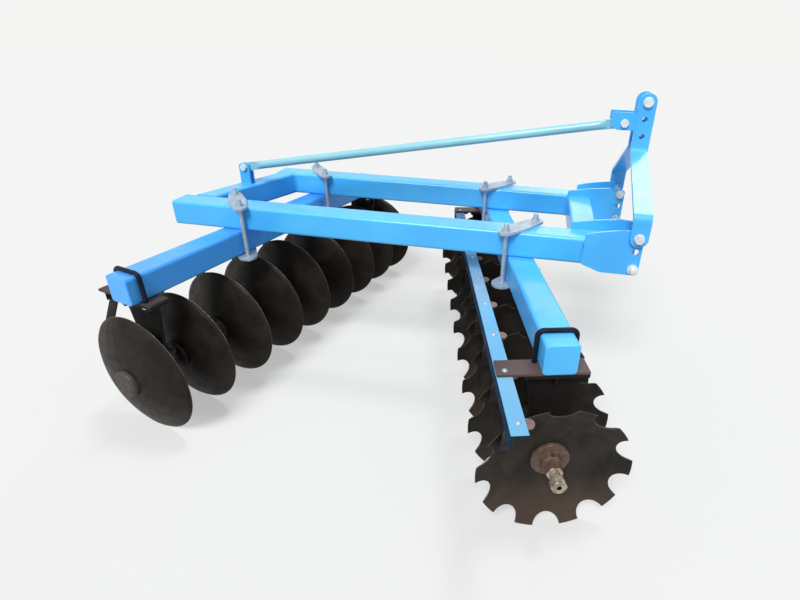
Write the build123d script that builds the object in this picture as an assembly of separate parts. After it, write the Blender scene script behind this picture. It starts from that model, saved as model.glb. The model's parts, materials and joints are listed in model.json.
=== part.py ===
from build123d import *
import os
from math import asin, atan2, cos, degrees, hypot, radians, sin, sqrt, tan

"""Mounted offset disc harrow with a notched front gang and a plain rear gang.

+X is the machine's right, +Y the direction of travel and +Z up, with the ground at Z = 0.
While it is drawn, X = 0 is the middle of the frame and Y = 0 the rear end of the right main beam.
At the end everything is moved so that the origin is under the middle of the bounding box.
All sizes are in millimetres and all angles in degrees.

A gang is drawn in its own frame: u runs along its shaft to the machine's right, v across it to the
front, and z up, with u = 0 in the middle of the machine.
"""

# ---------------------------------------------------------------- discs
DISC_COUNT = 9              # in each gang
DISC_DIAMETER = 560
DISC_THICKNESS = 5
DISC_PITCH = 230            # along the shaft
DISH_RADIUS = 600           # of the concave face
EDGE_BEVEL = 12             # width of the ground edge
EDGE_THICKNESS = 1.5
NOTCHES = 10
NOTCH_RADIUS = 52
NOTCH_OUTSIDE = 4           # centre of a notch beyond the disc's rim

# ---------------------------------------------------------------- frame tubes
TUBE = 120                  # side of the square main beams and gang beams
WALL = 6                    # wall of every tube
TUBE_CORNER = 14            # outer corner radius of every tube
CAP_ROUNDING = 5            # edge of a tube's welded end cap
FRAME_WIDTH = 740           # over the outer faces of the main beams
BEAM_OVER_DISCS = 70        # from the top of the discs to the gang beams' underside
MAIN_BEAM_LENGTH = 2090     # the right beam, which is the longer one
REAR_CROSS_WIDTH = 100      # width of the slanted cross member
REAR_CROSS_ANGLE = 20       # its slant in plan
LEFT_BEAM_OVERHANG = 8      # how far the left beam runs behind the cross member
FRONT_CROSS_SETBACK = 160   # from the main beams' front end to the front cross member's rear face

# ---------------------------------------------------------------- hitch
CHEEK = 12                  # thickness of the cheek plates
CHEEK_OVERLAP = 115         # how far the outer cheek plates lie along the main beams
CHEEK_INNER_OVERLAP = 170   # the inner ones, which hold the front cross member
CHEEK_STEP = 8              # their lower rear corner over the beam's underside
CHEEK_SHOULDER = 26         # their upper rear corner over the beam's top
CHEEK_ARCH = 4              # rise of the upper edge over a straight line
CHEEK_CORNER = 10
CHEEK_NOSE = 25             # from the column of holes to the cheek plates' front edge
CHEEK_BELOW = 29            # plate below the lower pin
CHEEK_ABOVE = 27            # plate above the mast bolt
HITCH_REACH = 105           # from the main beams' front end to the column of holes, and the mast
LOWER_PIN_RISE = 5          # heights over the main beams' underside
FREE_HOLE_RISE = 84
MAST_BOLT_RISE = 151
LOWER_PIN_DIAMETER = 28
FREE_HOLE_DIAMETER = 28.5
MAST_BOLT_DIAMETER = 24
PIN_CLEARANCE = 0.25        # radial, for every pin and bolt that only holds
PIN_OUTSIDE = 30            # lower pin outside the outer cheek plate
PIN_INSIDE = 20             # lower pin inside the inner cheek plate
PIN_COLLAR = 9              # collar's radius over the pin's
PIN_COLLAR_WIDTH = 10
PIN_CHAMFER = 3

MAST_BAR = 75               # width of the mast's flat bars
MAST_PLATE = 16             # their thickness
MAST_BEND = 24              # radius inside each bend
MAST_GAP = 60               # between the bars at the top link
MAST_LOW_BEND = 120         # heights over the frame's top
MAST_HIGH_BEND = 320
TOP_PIN_RISE = 532
TOP_HOLE_PITCH = 74         # down to each free hole
TOP_PIN_DIAMETER = 25
TOP_HOLE_DIAMETER = 25.5
TOP_PIN_HEAD = 44           # diameter of the pin's head
SPACER = 12                 # block between the bars over the upper bend

STAY_DIAMETER = 42
STAY_BLADE = 14             # thickness of the flattened ends
STAY_BLADE_WIDTH = 44
STAY_BLADE_LENGTH = 66      # from the bolt to where the round bar begins to be forged flat
STAY_FORGED = 38            # length over which it is
STAY_PIN_DIAMETER = 20
STAY_FRONT_SETBACK = 83     # stay pin behind the mast's column of holes
STAY_FRONT_DROP = 96        # stay pin below the top link pin
STAY_REAR_HEIGHT = 92       # stay pin over the rear cross member
STAY_EAR = 12               # thickness of the ears
STAY_EAR_WIDTH = 58
STAY_EAR_ABOVE = 20         # over the bolt
STAY_EAR_CORNER = 14
STAY_SIDE_CLEARANCE = 0.5   # between a blade and the ear beside it
BRACKET_PLATE = 10          # plates behind the mast's bars, for the stay's front bolt
BRACKET_RECESS = 3          # inside the bars' outer faces
BRACKET_LAP = 4             # weld at the bars' rear edges
BRACKET_BEHIND = 57         # plate round the bolt
BRACKET_BELOW = 28
BRACKET_ABOVE = 48

# ---------------------------------------------------------------- shafts, spools and bearings
SHAFT = 40                  # side of the square shaft
SHAFT_CLEARANCE = 0.3       # each side, in the discs and spools
SPOOL_FLANGE = 66           # radius
SPOOL_FLANGE_WIDTH = 12
SPOOL_WALL = 7.3            # thinnest wall, outside the shaft's corners
FLAT_MARGIN = 9             # flat centre of a disc beyond the spool's flange
JOURNAL_CLEARANCE = 0.05
JOURNAL_SHOULDER = 6        # journal beyond each side of the bearing
BEARING_WIDTH = 76
BEARING_WALL = 26
BEARING_SEAT = 16           # housing above its ring, up to its seat
BEARING_PAD = 14            # thickness of the pad under the seat
SPLIT_FLANGE = 28           # bolting flanges at the split, beyond the ring
SPLIT_THICKNESS = 13        # of each flange
SPLIT_GROOVE = 1.5          # the seam between the halves

SHAFT_END_CUT = 2           # the threaded ends' diameter under the side of the square
END_WASHER_MARGIN = 3       # washer inside a hollow disc's flat centre
END_WASHER_THICKNESS = 14
END_COLLAR = 40             # radius of the washer's hub
END_COLLAR_LENGTH = 24
END_ROUNDING = 4
END_NUT = 56                # across flats
END_NUT_LENGTH = 36
LOCK_NUT = 52               # at the shaft's tip
LOCK_NUT_LENGTH = 28
SHAFT_OVERHANG = 131        # from the outside of the first disc of a hollow-out end to the shaft's tip
CENTRE_HOLE = 18            # turning centre in the tip
CENTRE_HOLE_DEPTH = 12
END_CAP = 63                # radius of the cap on a domed end
END_CAP_LENGTH = 22
END_CAP_ROUNDING = 14
END_CAP_WALL = 6            # The two gangs. A positive angle swings the right end forward. Each place is along the shaft:
# hub_1 is the flat back of the first disc from the right, cupped is +1 where the hollow faces right,
# hanger is from a disc's back to the standard beside it, and beam_end from a standard to the beam's end.
GANGS = {
    "front": dict(angle=15.0, y=1622, hub_1=1064, cupped=1, hanger=68, beam_end=52, notched=True),
    "rear": dict(angle=-14.0, y=395, hub_1=1030, cupped=-1, hanger=85, beam_end=76, notched=False),
}

# ---------------------------------------------------------------- what hangs from a gang beam
ARM_THICKNESS = 10          # flat arm clamped under the beam, which carries the scraper bar
ARM_WIDTH = 80
ARM_BEHIND = 150            # arm behind and in front of the gang beam
ARM_BEFORE = 52
FOOT_THICKNESS = 14         # foot plates and seats of the standards
FOOT_WIDTH = 80
FOOT_MARGIN = 52            # foot plate in front of and behind the gang beam
STANDARD_THICKNESS = 14
STANDARD_TOP = 200          # width of the standard at its top and bottom
STANDARD_BOTTOM = 124
SEAT_MARGIN = 10            # bearing seat beyond the standard, each side
GUSSET_HEIGHT = 84          # ribs between a standard and its foot and seat
GUSSET_THICKNESS = 10
U_BOLT = 18                 # diameter of the round bar
U_BOLT_GAP = 0.5            # between the bar and the beam
U_BOLT_SIDE = 2.4           # from a standard to the corner of its U-bolt's nut
U_BOLT_TAIL = 26            # thread below the foot plate
U_BOLT_NUT = 15
ANGLE_LEG = 55              # scraper bar, an equal angle
ANGLE_THICKNESS = 5
BAR_UNDER_ARM = 53          # how far the scraper bar reaches under the arms
SCRAPER_BAR_OVERHANG = 52   # past the last scraper
SCRAPER_WIDTH = 46
SCRAPER_THICKNESS = 8
SCRAPER_STANDOFF = 108      # from a disc's rim plane to its scraper's foot on the bar
SCRAPER_FOOT = 24           # half the length of the foot
SCRAPER_FOLD = 10           # radius inside each bend
TAB_WIDTH = 42              # strap between the bar and a scraper's foot
TAB_THICKNESS = 6
TAB_REACH = 28              # its rounded end in front of the bar
SCRAPER_BEND = 0.72         # height of the lower bend over the shaft, in disc radii
SCRAPER_TIP = 105           # height of the tip over the shaft
SCRAPER_GAP = 8             # from the blade to the disc

# ---------------------------------------------------------------- clamps at the four crossings
CLAMP_PLATE = 12
CLAMP_WIDTH = 82            # of a top plate at its middle
CLAMP_END_WIDTH = 60        # and at its rounded ends
CLAMP_LOW_WIDTH = 100       # the same of a bottom plate
CLAMP_LOW_END_WIDTH = 86
CLAMP_END = 8               # the ends' centres outside the rods
CLAMP_ROD = 20
CLAMP_STANDOFF = 10         # between a rod and the tubes beside it
CLAMP_NUT = 16
CLAMP_STUD = 34             # rod above the top plate
CLAMP_TAIL = 22             # rod below the bottom plate

NUT_RATIO = 1.5             # a nut's width across flats over its bolt's diameter

# ---------------------------------------------------------------- worked out
DISC_RADIUS = DISC_DIAMETER / 2
DISH_FLAT = SPOOL_FLANGE + FLAT_MARGIN
NOTCH_CENTRE = DISC_RADIUS + NOTCH_OUTSIDE
HOLE = SHAFT + 2 * SHAFT_CLEARANCE
JOURNAL = hypot(HOLE / 2, HOLE / 2) + SPOOL_WALL
BEARING_RADIUS = JOURNAL + BEARING_WALL
BEARING_HEIGHT = BEARING_RADIUS + BEARING_SEAT
SHAFT_END = SHAFT - SHAFT_END_CUT
U_BOLT_OFFSET = STANDARD_THICKNESS / 2 + U_BOLT_SIDE + NUT_RATIO * U_BOLT / sqrt(3)

GANG_BEAM_UNDERSIDE = DISC_DIAMETER + BEAM_OVER_DISCS
MAIN_BEAM_UNDERSIDE = GANG_BEAM_UNDERSIDE + TUBE
FRAME_TOP = MAIN_BEAM_UNDERSIDE + TUBE
MAIN_BEAM_X = FRAME_WIDTH / 2 - TUBE / 2
INNER_FACE_X = FRAME_WIDTH / 2 - TUBE

HITCH_Y = MAIN_BEAM_LENGTH + HITCH_REACH
LOWER_PIN_Z = MAIN_BEAM_UNDERSIDE + LOWER_PIN_RISE
FREE_HOLE_Z = MAIN_BEAM_UNDERSIDE + FREE_HOLE_RISE
MAST_BOLT_Z = MAIN_BEAM_UNDERSIDE + MAST_BOLT_RISE
MAST_LOW_BEND_Z = FRAME_TOP + MAST_LOW_BEND
MAST_HIGH_BEND_Z = FRAME_TOP + MAST_HIGH_BEND
TOP_PIN_Z = FRAME_TOP + TOP_PIN_RISE
STAY_FRONT_Y = HITCH_Y - STAY_FRONT_SETBACK
STAY_FRONT_Z = TOP_PIN_Z - STAY_FRONT_DROP
STAY_REAR_Z = FRAME_TOP + STAY_REAR_HEIGHT
BRACKET_OUTSIDE = MAST_GAP / 2 + MAST_PLATE - BRACKET_RECESS

ARM_TOP = GANG_BEAM_UNDERSIDE
FOOT_TOP = ARM_TOP - ARM_THICKNESS
FOOT_BOTTOM = FOOT_TOP - FOOT_THICKNESS
ARM_REAR = TUBE / 2 + ARM_BEHIND
ARM_FRONT = TUBE / 2 + ARM_BEFORE
BAR_TOP = FOOT_TOP
BAR_FRONT = BAR_UNDER_ARM - ARM_REAR


def plan_prism(points, bottom, top):
    """A prism over an outline in plan, from one height to another."""
    outline = make_face(Polyline(*points, close=True))
    return Pos(0, 0, bottom) * extrude(outline, top - bottom)


def side_plate(outline, x_low, thickness):
    """A plate that stands in the Y-Z plane, from a sketch whose x is Y and whose y is Z."""
    return Pos(x_low, 0, 0) * extrude(Plane.YZ * outline, thickness)


def rod_x(diameter, x_low, x_high, y, z):
    """A round bar along X."""
    bar = extrude(Plane.YZ * Circle(diameter / 2), x_high - x_low)
    return Pos(x_low, y, z) * bar


def rod_z(diameter, bottom, top, x, y):
    """An upright round bar."""
    return Pos(x, y, bottom) * extrude(Circle(diameter / 2), top - bottom)


def hexagon_x(across_flats, x_low, x_high, y, z):
    """A hexagon nut or head along X."""
    nut = extrude(Plane.YZ * RegularPolygon(across_flats / 2, 6, major_radius=False), x_high - x_low)
    return Pos(x_low, y, z) * nut


def cross_bolt(diameter, x_low, x_high, y, z):
    """A bolt along X with its head at the high end of what it holds and its nut at the low end."""
    across = NUT_RATIO * diameter
    head = 0.6 * diameter
    nut = 0.8 * diameter
    bolt = rod_x(diameter, x_low - nut - 6, x_high + head, y, z)
    bolt += hexagon_x(across, x_high, x_high + head, y, z)
    return bolt + hexagon_x(across, x_low - nut, x_low, y, z)


def hexagon_z(across_flats, bottom, top, x, y):
    """An upright hexagon nut."""
    nut = extrude(RegularPolygon(across_flats / 2, 6, major_radius=False), top - bottom)
    return Pos(x, y, bottom) * nut


def bent_strip(points, thickness, bend):
    """The edge view of a flat bar bent along points, as a face. bend is the radius inside each bend."""
    return trace(FilletPolyline(*points, radius=bend + thickness / 2), thickness)


def square_tube(length):
    """A square tube along X from the origin, centred on its axis, closed by a rounded cap at each end."""
    outer = extrude(Plane.YZ * RectangleRounded(TUBE, TUBE, TUBE_CORNER), length)
    outer = fillet(outer.faces().sort_by(Axis.X)[0].edges() + outer.faces().sort_by(Axis.X)[-1].edges(), CAP_ROUNDING)
    room = TUBE - 2 * WALL
    inner = extrude(Plane.YZ * RectangleRounded(room, room, TUBE_CORNER - WALL), length - 2 * WALL)
    return outer - Pos(WALL, 0, 0) * inner


# ================================================================ frame
def rear_cross_line(x, offset=0.0):
    """Y of the rear cross member's rear face at x, or of a line parallel to it in front."""
    slant = radians(REAR_CROSS_ANGLE)
    return (FRAME_WIDTH / 2 - x) * tan(slant) + offset / cos(slant)


def main_beam(x, rear):
    """One long beam from its rear end to the hitch."""
    place = Location((x, rear, MAIN_BEAM_UNDERSIDE + TUBE / 2), (0, 0, 90))
    return place * square_tube(MAIN_BEAM_LENGTH - rear)


def rear_cross_member():
    """The slanted tube between the main beams."""
    def outline(low, high):
        sides = (INNER_FACE_X, -INNER_FACE_X)
        rear = [(x, rear_cross_line(x, low)) for x in sides]
        front = [(x, rear_cross_line(x, high)) for x in reversed(sides)]
        return rear + front

    outer = plan_prism(outline(0, REAR_CROSS_WIDTH), MAIN_BEAM_UNDERSIDE, FRAME_TOP)
    room = plan_prism(outline(WALL, REAR_CROSS_WIDTH - WALL), MAIN_BEAM_UNDERSIDE + WALL, FRAME_TOP - WALL)
    long_edges = outer.edges().filter_by(lambda edge: edge.length > 2 * INNER_FACE_X)
    return fillet(long_edges, TUBE_CORNER) - room


def front_cross_member():
    """The square tube between the inner cheek plates, behind the hitch."""
    half = INNER_FACE_X - CHEEK
    tube = extrude(Plane.YZ * RectangleRounded(TUBE, TUBE, TUBE_CORNER), half, both=True)
    room = TUBE - 2 * WALL
    bore = extrude(Plane.YZ * RectangleRounded(room, room, TUBE_CORNER - WALL), half, both=True)
    rear = MAIN_BEAM_LENGTH - FRONT_CROSS_SETBACK
    return Pos(0, rear + TUBE / 2, MAIN_BEAM_UNDERSIDE + TUBE / 2) * (tube - bore)


def cheek_outline(overlap):
    """A cheek plate seen from the side: over the end of the beam, then dropped and rounded to the hitch."""
    rear = MAIN_BEAM_LENGTH - overlap
    front = HITCH_Y + CHEEK_NOSE
    low = LOWER_PIN_Z - CHEEK_BELOW
    high = MAST_BOLT_Z + CHEEK_ABOVE
    shoulder = (rear + CHEEK_STEP, FRAME_TOP + CHEEK_SHOULDER)
    crest = (HITCH_Y - 2 * CHEEK_NOSE, high)
    middle = ((shoulder[0] + crest[0]) / 2, (shoulder[1] + crest[1]) / 2 + CHEEK_ARCH)
    edge = Polyline(
        shoulder,
        (rear, MAIN_BEAM_UNDERSIDE + CHEEK_STEP),
        (MAIN_BEAM_LENGTH - CHEEK_BELOW, low),
        (front, low),
        (front, high - CHEEK_STEP),
        crest,
    )
    plate = make_face([edge, ThreePointArc(crest, middle, shoulder)])
    nose = [corner for corner in plate.vertices() if corner.X > HITCH_Y and corner.Y < LOWER_PIN_Z]
    plate = fillet(nose, CHEEK_NOSE - 4)
    ends = [corner for corner in plate.vertices() if corner.X < rear + 2 * CHEEK_STEP or corner.Y > MAST_BOLT_Z and corner.X > HITCH_Y]
    plate = fillet(ends, CHEEK_CORNER)
    for height, diameter in (
        (MAST_BOLT_Z, MAST_BOLT_DIAMETER + 2 * PIN_CLEARANCE),
        (FREE_HOLE_Z, FREE_HOLE_DIAMETER),
        (LOWER_PIN_Z, LOWER_PIN_DIAMETER + 2 * PIN_CLEARANCE),
    ):
        plate -= Pos(HITCH_Y, height) * Circle(diameter / 2)
    return plate


def hitch_plates():
    """An outer and an inner cheek plate on each main beam."""
    outer = side_plate(cheek_outline(CHEEK_OVERLAP), FRAME_WIDTH / 2, CHEEK)
    inner = side_plate(cheek_outline(CHEEK_INNER_OVERLAP), INNER_FACE_X - CHEEK, CHEEK)
    return [outer, inner, mirror(outer, Plane.YZ), mirror(inner, Plane.YZ)]


def hitch_pins():
    """A collared pin across each pair of cheek plates, and the top link's pin with its big head."""
    outer = FRAME_WIDTH / 2 + CHEEK
    inner = INNER_FACE_X - CHEEK
    collar_size = LOWER_PIN_DIAMETER + 2 * PIN_COLLAR
    pin = rod_x(LOWER_PIN_DIAMETER, inner - PIN_INSIDE, outer + PIN_OUTSIDE, HITCH_Y, LOWER_PIN_Z)
    pin = chamfer(pin.edges(), PIN_CHAMFER)
    collar = rod_x(collar_size, outer, outer + PIN_COLLAR_WIDTH, HITCH_Y, LOWER_PIN_Z)
    washer = rod_x(collar_size, inner - PIN_COLLAR_WIDTH / 2, inner, HITCH_Y, LOWER_PIN_Z)
    right = pin + collar + washer
    outside = MAST_GAP / 2 + MAST_PLATE
    top = rod_x(TOP_PIN_DIAMETER, -outside - TOP_PIN_DIAMETER, outside, HITCH_Y, TOP_PIN_Z)
    head = rod_x(TOP_PIN_HEAD, outside, outside + TOP_PIN_DIAMETER / 2, HITCH_Y, TOP_PIN_Z)
    top = chamfer(top.edges(), PIN_CHAMFER) + fillet(head.edges().sort_by(Axis.X)[-1], PIN_CHAMFER)
    return [right, mirror(right, Plane.YZ), top]


def mast_side_profile():
    """The mast seen from the side: a round-ended bar with the foot's hole and three for the top link."""
    height = TOP_PIN_Z - MAST_BOLT_Z
    middle = (TOP_PIN_Z + MAST_BOLT_Z) / 2
    profile = Pos(HITCH_Y, middle) * Rot(0, 0, 90) * SlotCenterToCenter(height, MAST_BAR)
    profile -= Pos(HITCH_Y, MAST_BOLT_Z) * Circle(MAST_BOLT_DIAMETER / 2 + PIN_CLEARANCE)
    profile -= Pos(HITCH_Y, TOP_PIN_Z) * Circle(TOP_PIN_DIAMETER / 2 + PIN_CLEARANCE)
    for step in (1, 2):
        profile -= Pos(HITCH_Y, TOP_PIN_Z - step * TOP_HOLE_PITCH) * Circle(TOP_HOLE_DIAMETER / 2)
    return profile


def bracket_outline():
    """A bracket plate seen from the side, cut off at its lower rear corner."""
    front = HITCH_Y - MAST_BAR / 2 + BRACKET_LAP
    rear = STAY_FRONT_Y - BRACKET_BEHIND
    low = STAY_FRONT_Z - BRACKET_BELOW
    high = STAY_FRONT_Z + BRACKET_ABOVE
    cut = BRACKET_BELOW / 2
    outline = make_face(
        Polyline((front, low), (rear + 2 * cut, low), (rear, low + cut), (rear, high), (front, high), close=True)
    )
    return outline - Pos(STAY_FRONT_Y, STAY_FRONT_Z) * Circle(STAY_PIN_DIAMETER / 2 + PIN_CLEARANCE)


def mast():
    """Two cranked flat bars that meet in a clevis for the top link, with a spacer and the stay's bracket."""
    low_x = FRAME_WIDTH / 2 + CHEEK + MAST_PLATE / 2
    high_x = MAST_GAP / 2 + MAST_PLATE / 2
    crank = [
        (low_x, MAST_BOLT_Z - MAST_BAR),
        (low_x, MAST_LOW_BEND_Z),
        (high_x, MAST_HIGH_BEND_Z),
        (high_x, TOP_PIN_Z + MAST_BAR),
    ]
    bent = extrude(Plane.XZ * bent_strip(crank, MAST_PLATE, MAST_BEND), MAST_BAR, both=True)
    side = extrude(Plane.YZ * mast_side_profile(), FRAME_WIDTH)
    right = (Pos(0, HITCH_Y, 0) * bent) & side
    right += side_plate(bracket_outline(), BRACKET_OUTSIDE - BRACKET_PLATE, BRACKET_PLATE)
    spacer_z = MAST_HIGH_BEND_Z + MAST_BEND
    spacer = Pos(0, HITCH_Y, spacer_z) * Box(MAST_GAP, MAST_BAR - SPACER, SPACER)
    return right + mirror(right, Plane.YZ) + spacer


def mast_bolts():
    """The bolts that hold the mast's feet to the outer cheek plates."""
    outside = FRAME_WIDTH / 2 + CHEEK + MAST_PLATE
    inside = INNER_FACE_X - CHEEK
    right = cross_bolt(MAST_BOLT_DIAMETER, inside, outside, HITCH_Y, MAST_BOLT_Z)
    return [right, mirror(right, Plane.YZ)]


# The stay runs in the middle plane from ears on the rear cross member to the mast.
STAY_REAR_Y = rear_cross_line(0, REAR_CROSS_WIDTH / 2)


def stay_end():
    """One end of the stay, its eye at the origin and its round bar going up."""
    flat = Rectangle(STAY_BLADE, STAY_BLADE_WIDTH)
    forged = STAY_BLADE_LENGTH + STAY_FORGED
    end = loft([Pos(0, 0, STAY_BLADE_LENGTH) * flat, Pos(0, 0, forged) * Circle(STAY_DIAMETER / 2)])
    end += extrude(flat, STAY_BLADE_LENGTH)
    end += extrude(Plane.YZ * Circle(STAY_BLADE_WIDTH / 2), STAY_BLADE / 2, both=True)
    return end - extrude(Plane.YZ * Circle(STAY_PIN_DIAMETER / 2 + PIN_CLEARANCE), STAY_BLADE, both=True)


def mast_stay():
    """A round bar whose ends are forged flat, rounded and pierced."""
    run = (STAY_FRONT_Y - STAY_REAR_Y, STAY_FRONT_Z - STAY_REAR_Z)
    length = hypot(*run)
    forged = STAY_BLADE_LENGTH + STAY_FORGED
    middle = Pos(0, 0, forged) * extrude(Circle(STAY_DIAMETER / 2), length - 2 * forged)
    end = stay_end()
    bar = middle + end + Pos(0, 0, length) * mirror(end, Plane.XY)
    tilt = degrees(atan2(run[0], run[1]))
    return Location((0, STAY_REAR_Y, STAY_REAR_Z), (-tilt, 0, 0)) * bar


def stay_ears():
    """Two ears on the rear cross member that take the stay's rear end."""
    height = STAY_REAR_HEIGHT + STAY_EAR_ABOVE
    outline = Pos(STAY_REAR_Y, FRAME_TOP + height / 2) * Rectangle(STAY_EAR_WIDTH, height)
    outline = fillet(outline.vertices().group_by(Axis.Y)[-1], STAY_EAR_CORNER)
    outline -= Pos(STAY_REAR_Y, STAY_REAR_Z) * Circle(STAY_PIN_DIAMETER / 2 + PIN_CLEARANCE)
    inside = STAY_BLADE / 2 + STAY_SIDE_CLEARANCE
    return [side_plate(outline, inside, STAY_EAR), side_plate(outline, -inside - STAY_EAR, STAY_EAR)]


def stay_bolts():
    """The two bolts at the ends of the stay, and the spacers that centre it in the mast."""
    rear_half = STAY_BLADE / 2 + STAY_SIDE_CLEARANCE + STAY_EAR
    front_half = BRACKET_OUTSIDE
    rear = cross_bolt(STAY_PIN_DIAMETER, -rear_half, rear_half, STAY_REAR_Y, STAY_REAR_Z)
    front = cross_bolt(STAY_PIN_DIAMETER, -front_half, front_half, STAY_FRONT_Y, STAY_FRONT_Z)
    low = STAY_BLADE / 2 + PIN_CLEARANCE
    high = BRACKET_OUTSIDE - BRACKET_PLATE - PIN_CLEARANCE
    ring = rod_x(1.8 * STAY_PIN_DIAMETER, low, high, STAY_FRONT_Y, STAY_FRONT_Z)
    ring -= rod_x(STAY_PIN_DIAMETER + 2 * PIN_CLEARANCE, 0, MAST_GAP, STAY_FRONT_Y, STAY_FRONT_Z)
    return [rear, front, ring, mirror(ring, Plane.YZ)]


# ================================================================ gangs
def hubs(gang):
    """Where along the shaft the flat back of each disc lies, from the right."""
    return [gang["hub_1"] - index * DISC_PITCH for index in range(DISC_COUNT)]


def dish_depth(radius):
    """How far the concave face at a radius lies from the flat back, towards the rim."""
    outer_radius = DISH_RADIUS + DISC_THICKNESS
    centre = sqrt(outer_radius**2 - DISH_FLAT**2)
    return centre - sqrt(DISH_RADIUS**2 - radius**2)


RIM_DEPTH = dish_depth(DISC_RADIUS)
NOTCH_HALF_ANGLE = degrees(
    2 * asin(sqrt((NOTCH_RADIUS**2 - (NOTCH_CENTRE - DISC_RADIUS) ** 2) / (4 * NOTCH_CENTRE * DISC_RADIUS)))
)


def axle_height(gang):
    """Height of the shaft: a notched gang stands on the two lobes beside its lowest notches."""
    if gang["notched"]:
        return DISC_RADIUS * cos(radians(NOTCH_HALF_ANGLE))
    return DISC_RADIUS


def disc(notched):
    """A dished disc about the X axis, its flat back at x = 0 and its hollow towards +X."""
    outer_radius = DISH_RADIUS + DISC_THICKNESS
    centre = sqrt(outer_radius**2 - DISH_FLAT**2)

    def back(radius):
        return centre - sqrt(outer_radius**2 - radius**2)

    flat_front = sqrt(DISH_RADIUS**2 - (centre - DISC_THICKNESS) ** 2)
    bevel_start = DISC_RADIUS - EDGE_BEVEL
    middle = (DISH_FLAT + bevel_start) / 2
    middle_front = (flat_front + DISC_RADIUS) / 2
    section = [
        Line((0, 0), (0, DISH_FLAT)),
        ThreePointArc((0, DISH_FLAT), (back(middle), middle), (back(bevel_start), bevel_start)),
        Line((back(bevel_start), bevel_start), (RIM_DEPTH - EDGE_THICKNESS, DISC_RADIUS)),
        Line((RIM_DEPTH - EDGE_THICKNESS, DISC_RADIUS), (RIM_DEPTH, DISC_RADIUS)),
        ThreePointArc(
            (RIM_DEPTH, DISC_RADIUS), (dish_depth(middle_front), middle_front), (DISC_THICKNESS, flat_front)
        ),
        Line((DISC_THICKNESS, flat_front), (DISC_THICKNESS, 0)),
        Line((DISC_THICKNESS, 0), (0, 0)),
    ]
    blade = revolve(make_face(section), Axis.X)
    blade -= extrude(Plane.YZ * Rectangle(HOLE, HOLE), DISC_THICKNESS * 3, both=True)
    if notched:
        cutter = extrude(Plane.YZ * Circle(NOTCH_RADIUS), 2 * RIM_DEPTH)
        for index in range(NOTCHES):
            angle = radians(-90 + index * 360 / NOTCHES)
            blade -= Pos(0, NOTCH_CENTRE * cos(angle), NOTCH_CENTRE * sin(angle)) * cutter
    return blade


def place_disc(gang, shape, hub):
    """Puts a disc at its hub, turned over where the hollow faces left."""
    turn = Rot(0, 0, 0) if gang["cupped"] == 1 else Rot(0, 0, 180)
    return Pos(hub, 0, axle_height(gang)) * turn * shape


def hanger_places(gang):
    """The two standards of a gang, each beside the back of a disc in the first or last gap."""
    places = hubs(gang)
    backs = (places[0], places[-2]) if gang["cupped"] == 1 else (places[1], places[-1])
    return [back - gang["cupped"] * gang["hanger"] for back in backs]


def square_hole(length):
    """A cutter for the shaft's square hole."""
    return extrude(Plane.YZ * Rectangle(HOLE, HOLE), length)


def spools(gang):
    """The cast spools between the discs. One in a bearing has a plain journal in its middle."""
    pieces = []
    places = hubs(gang)
    for right, left in zip(places, places[1:]):
        if gang["cupped"] == 1:
            low, high = left + DISC_THICKNESS, right
        else:
            low, high = left, right - DISC_THICKNESS
        bearing = [place for place in hanger_places(gang) if low < place < high]
        if bearing:
            shoulder = BEARING_WIDTH / 2 + JOURNAL_SHOULDER
            stops = [bearing[0] - shoulder, bearing[0] + shoulder]
            section = [
                (low, 0),
                (low, SPOOL_FLANGE),
                (low + SPOOL_FLANGE_WIDTH, SPOOL_FLANGE),
                (min(low + 2 * SPOOL_FLANGE_WIDTH, stops[0]), JOURNAL),
                (max(high - 2 * SPOOL_FLANGE_WIDTH, stops[1]), JOURNAL),
                (high - SPOOL_FLANGE_WIDTH, SPOOL_FLANGE),
                (high, SPOOL_FLANGE),
                (high, 0),
            ]
            outline = make_face(Polyline(*section, close=True))
        else:
            inner_low = low + SPOOL_FLANGE_WIDTH
            inner_high = high - SPOOL_FLANGE_WIDTH
            outline = make_face(
                [
                    Polyline((low, 0), (low, SPOOL_FLANGE), (inner_low, SPOOL_FLANGE)),
                    ThreePointArc(
                        (inner_low, SPOOL_FLANGE), ((low + high) / 2, JOURNAL), (inner_high, SPOOL_FLANGE)
                    ),
                    Polyline((inner_high, SPOOL_FLANGE), (high, SPOOL_FLANGE), (high, 0), (low, 0)),
                ]
            )
        spool = revolve(outline, Axis.X) - Pos(low - 1, 0, 0) * square_hole(high - low + 2)
        pieces.append(Pos(0, 0, axle_height(gang)) * spool)
    return pieces


def shaft_span(gang):
    """The square part of the shaft, from the outside of the last disc to that of the first."""
    places = hubs(gang)
    if gang["cupped"] == 1:
        return places[-1], places[0] + DISC_THICKNESS
    return places[-1] - DISC_THICKNESS, places[0]


def gang_shaft(gang):
    """The square shaft with a round threaded end each side."""
    low, high = shaft_span(gang)
    square = Pos(low, 0, 0) * extrude(Plane.YZ * Rectangle(SHAFT, SHAFT), high - low)
    ends = end_lengths(gang)
    right = Pos(high, 0, 0) * extrude(Plane.YZ * Circle(SHAFT_END / 2), ends["right"])
    left = Pos(low - ends["left"], 0, 0) * extrude(Plane.YZ * Circle(SHAFT_END / 2), ends["left"])
    tip = high + SHAFT_OVERHANG if gang["cupped"] == 1 else low - SHAFT_OVERHANG
    centre = rod_x(CENTRE_HOLE, tip - CENTRE_HOLE_DEPTH, tip + CENTRE_HOLE_DEPTH, 0, 0)
    return Pos(0, 0, axle_height(gang)) * (square + right + left - centre)


def end_lengths(gang):
    """How far the round ends stand out of the square part."""
    hollow_end = SHAFT_OVERHANG
    domed_end = END_CAP_LENGTH - END_CAP_WALL
    if gang["cupped"] == 1:
        return {"right": hollow_end, "left": domed_end}
    return {"right": domed_end, "left": hollow_end}


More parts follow.
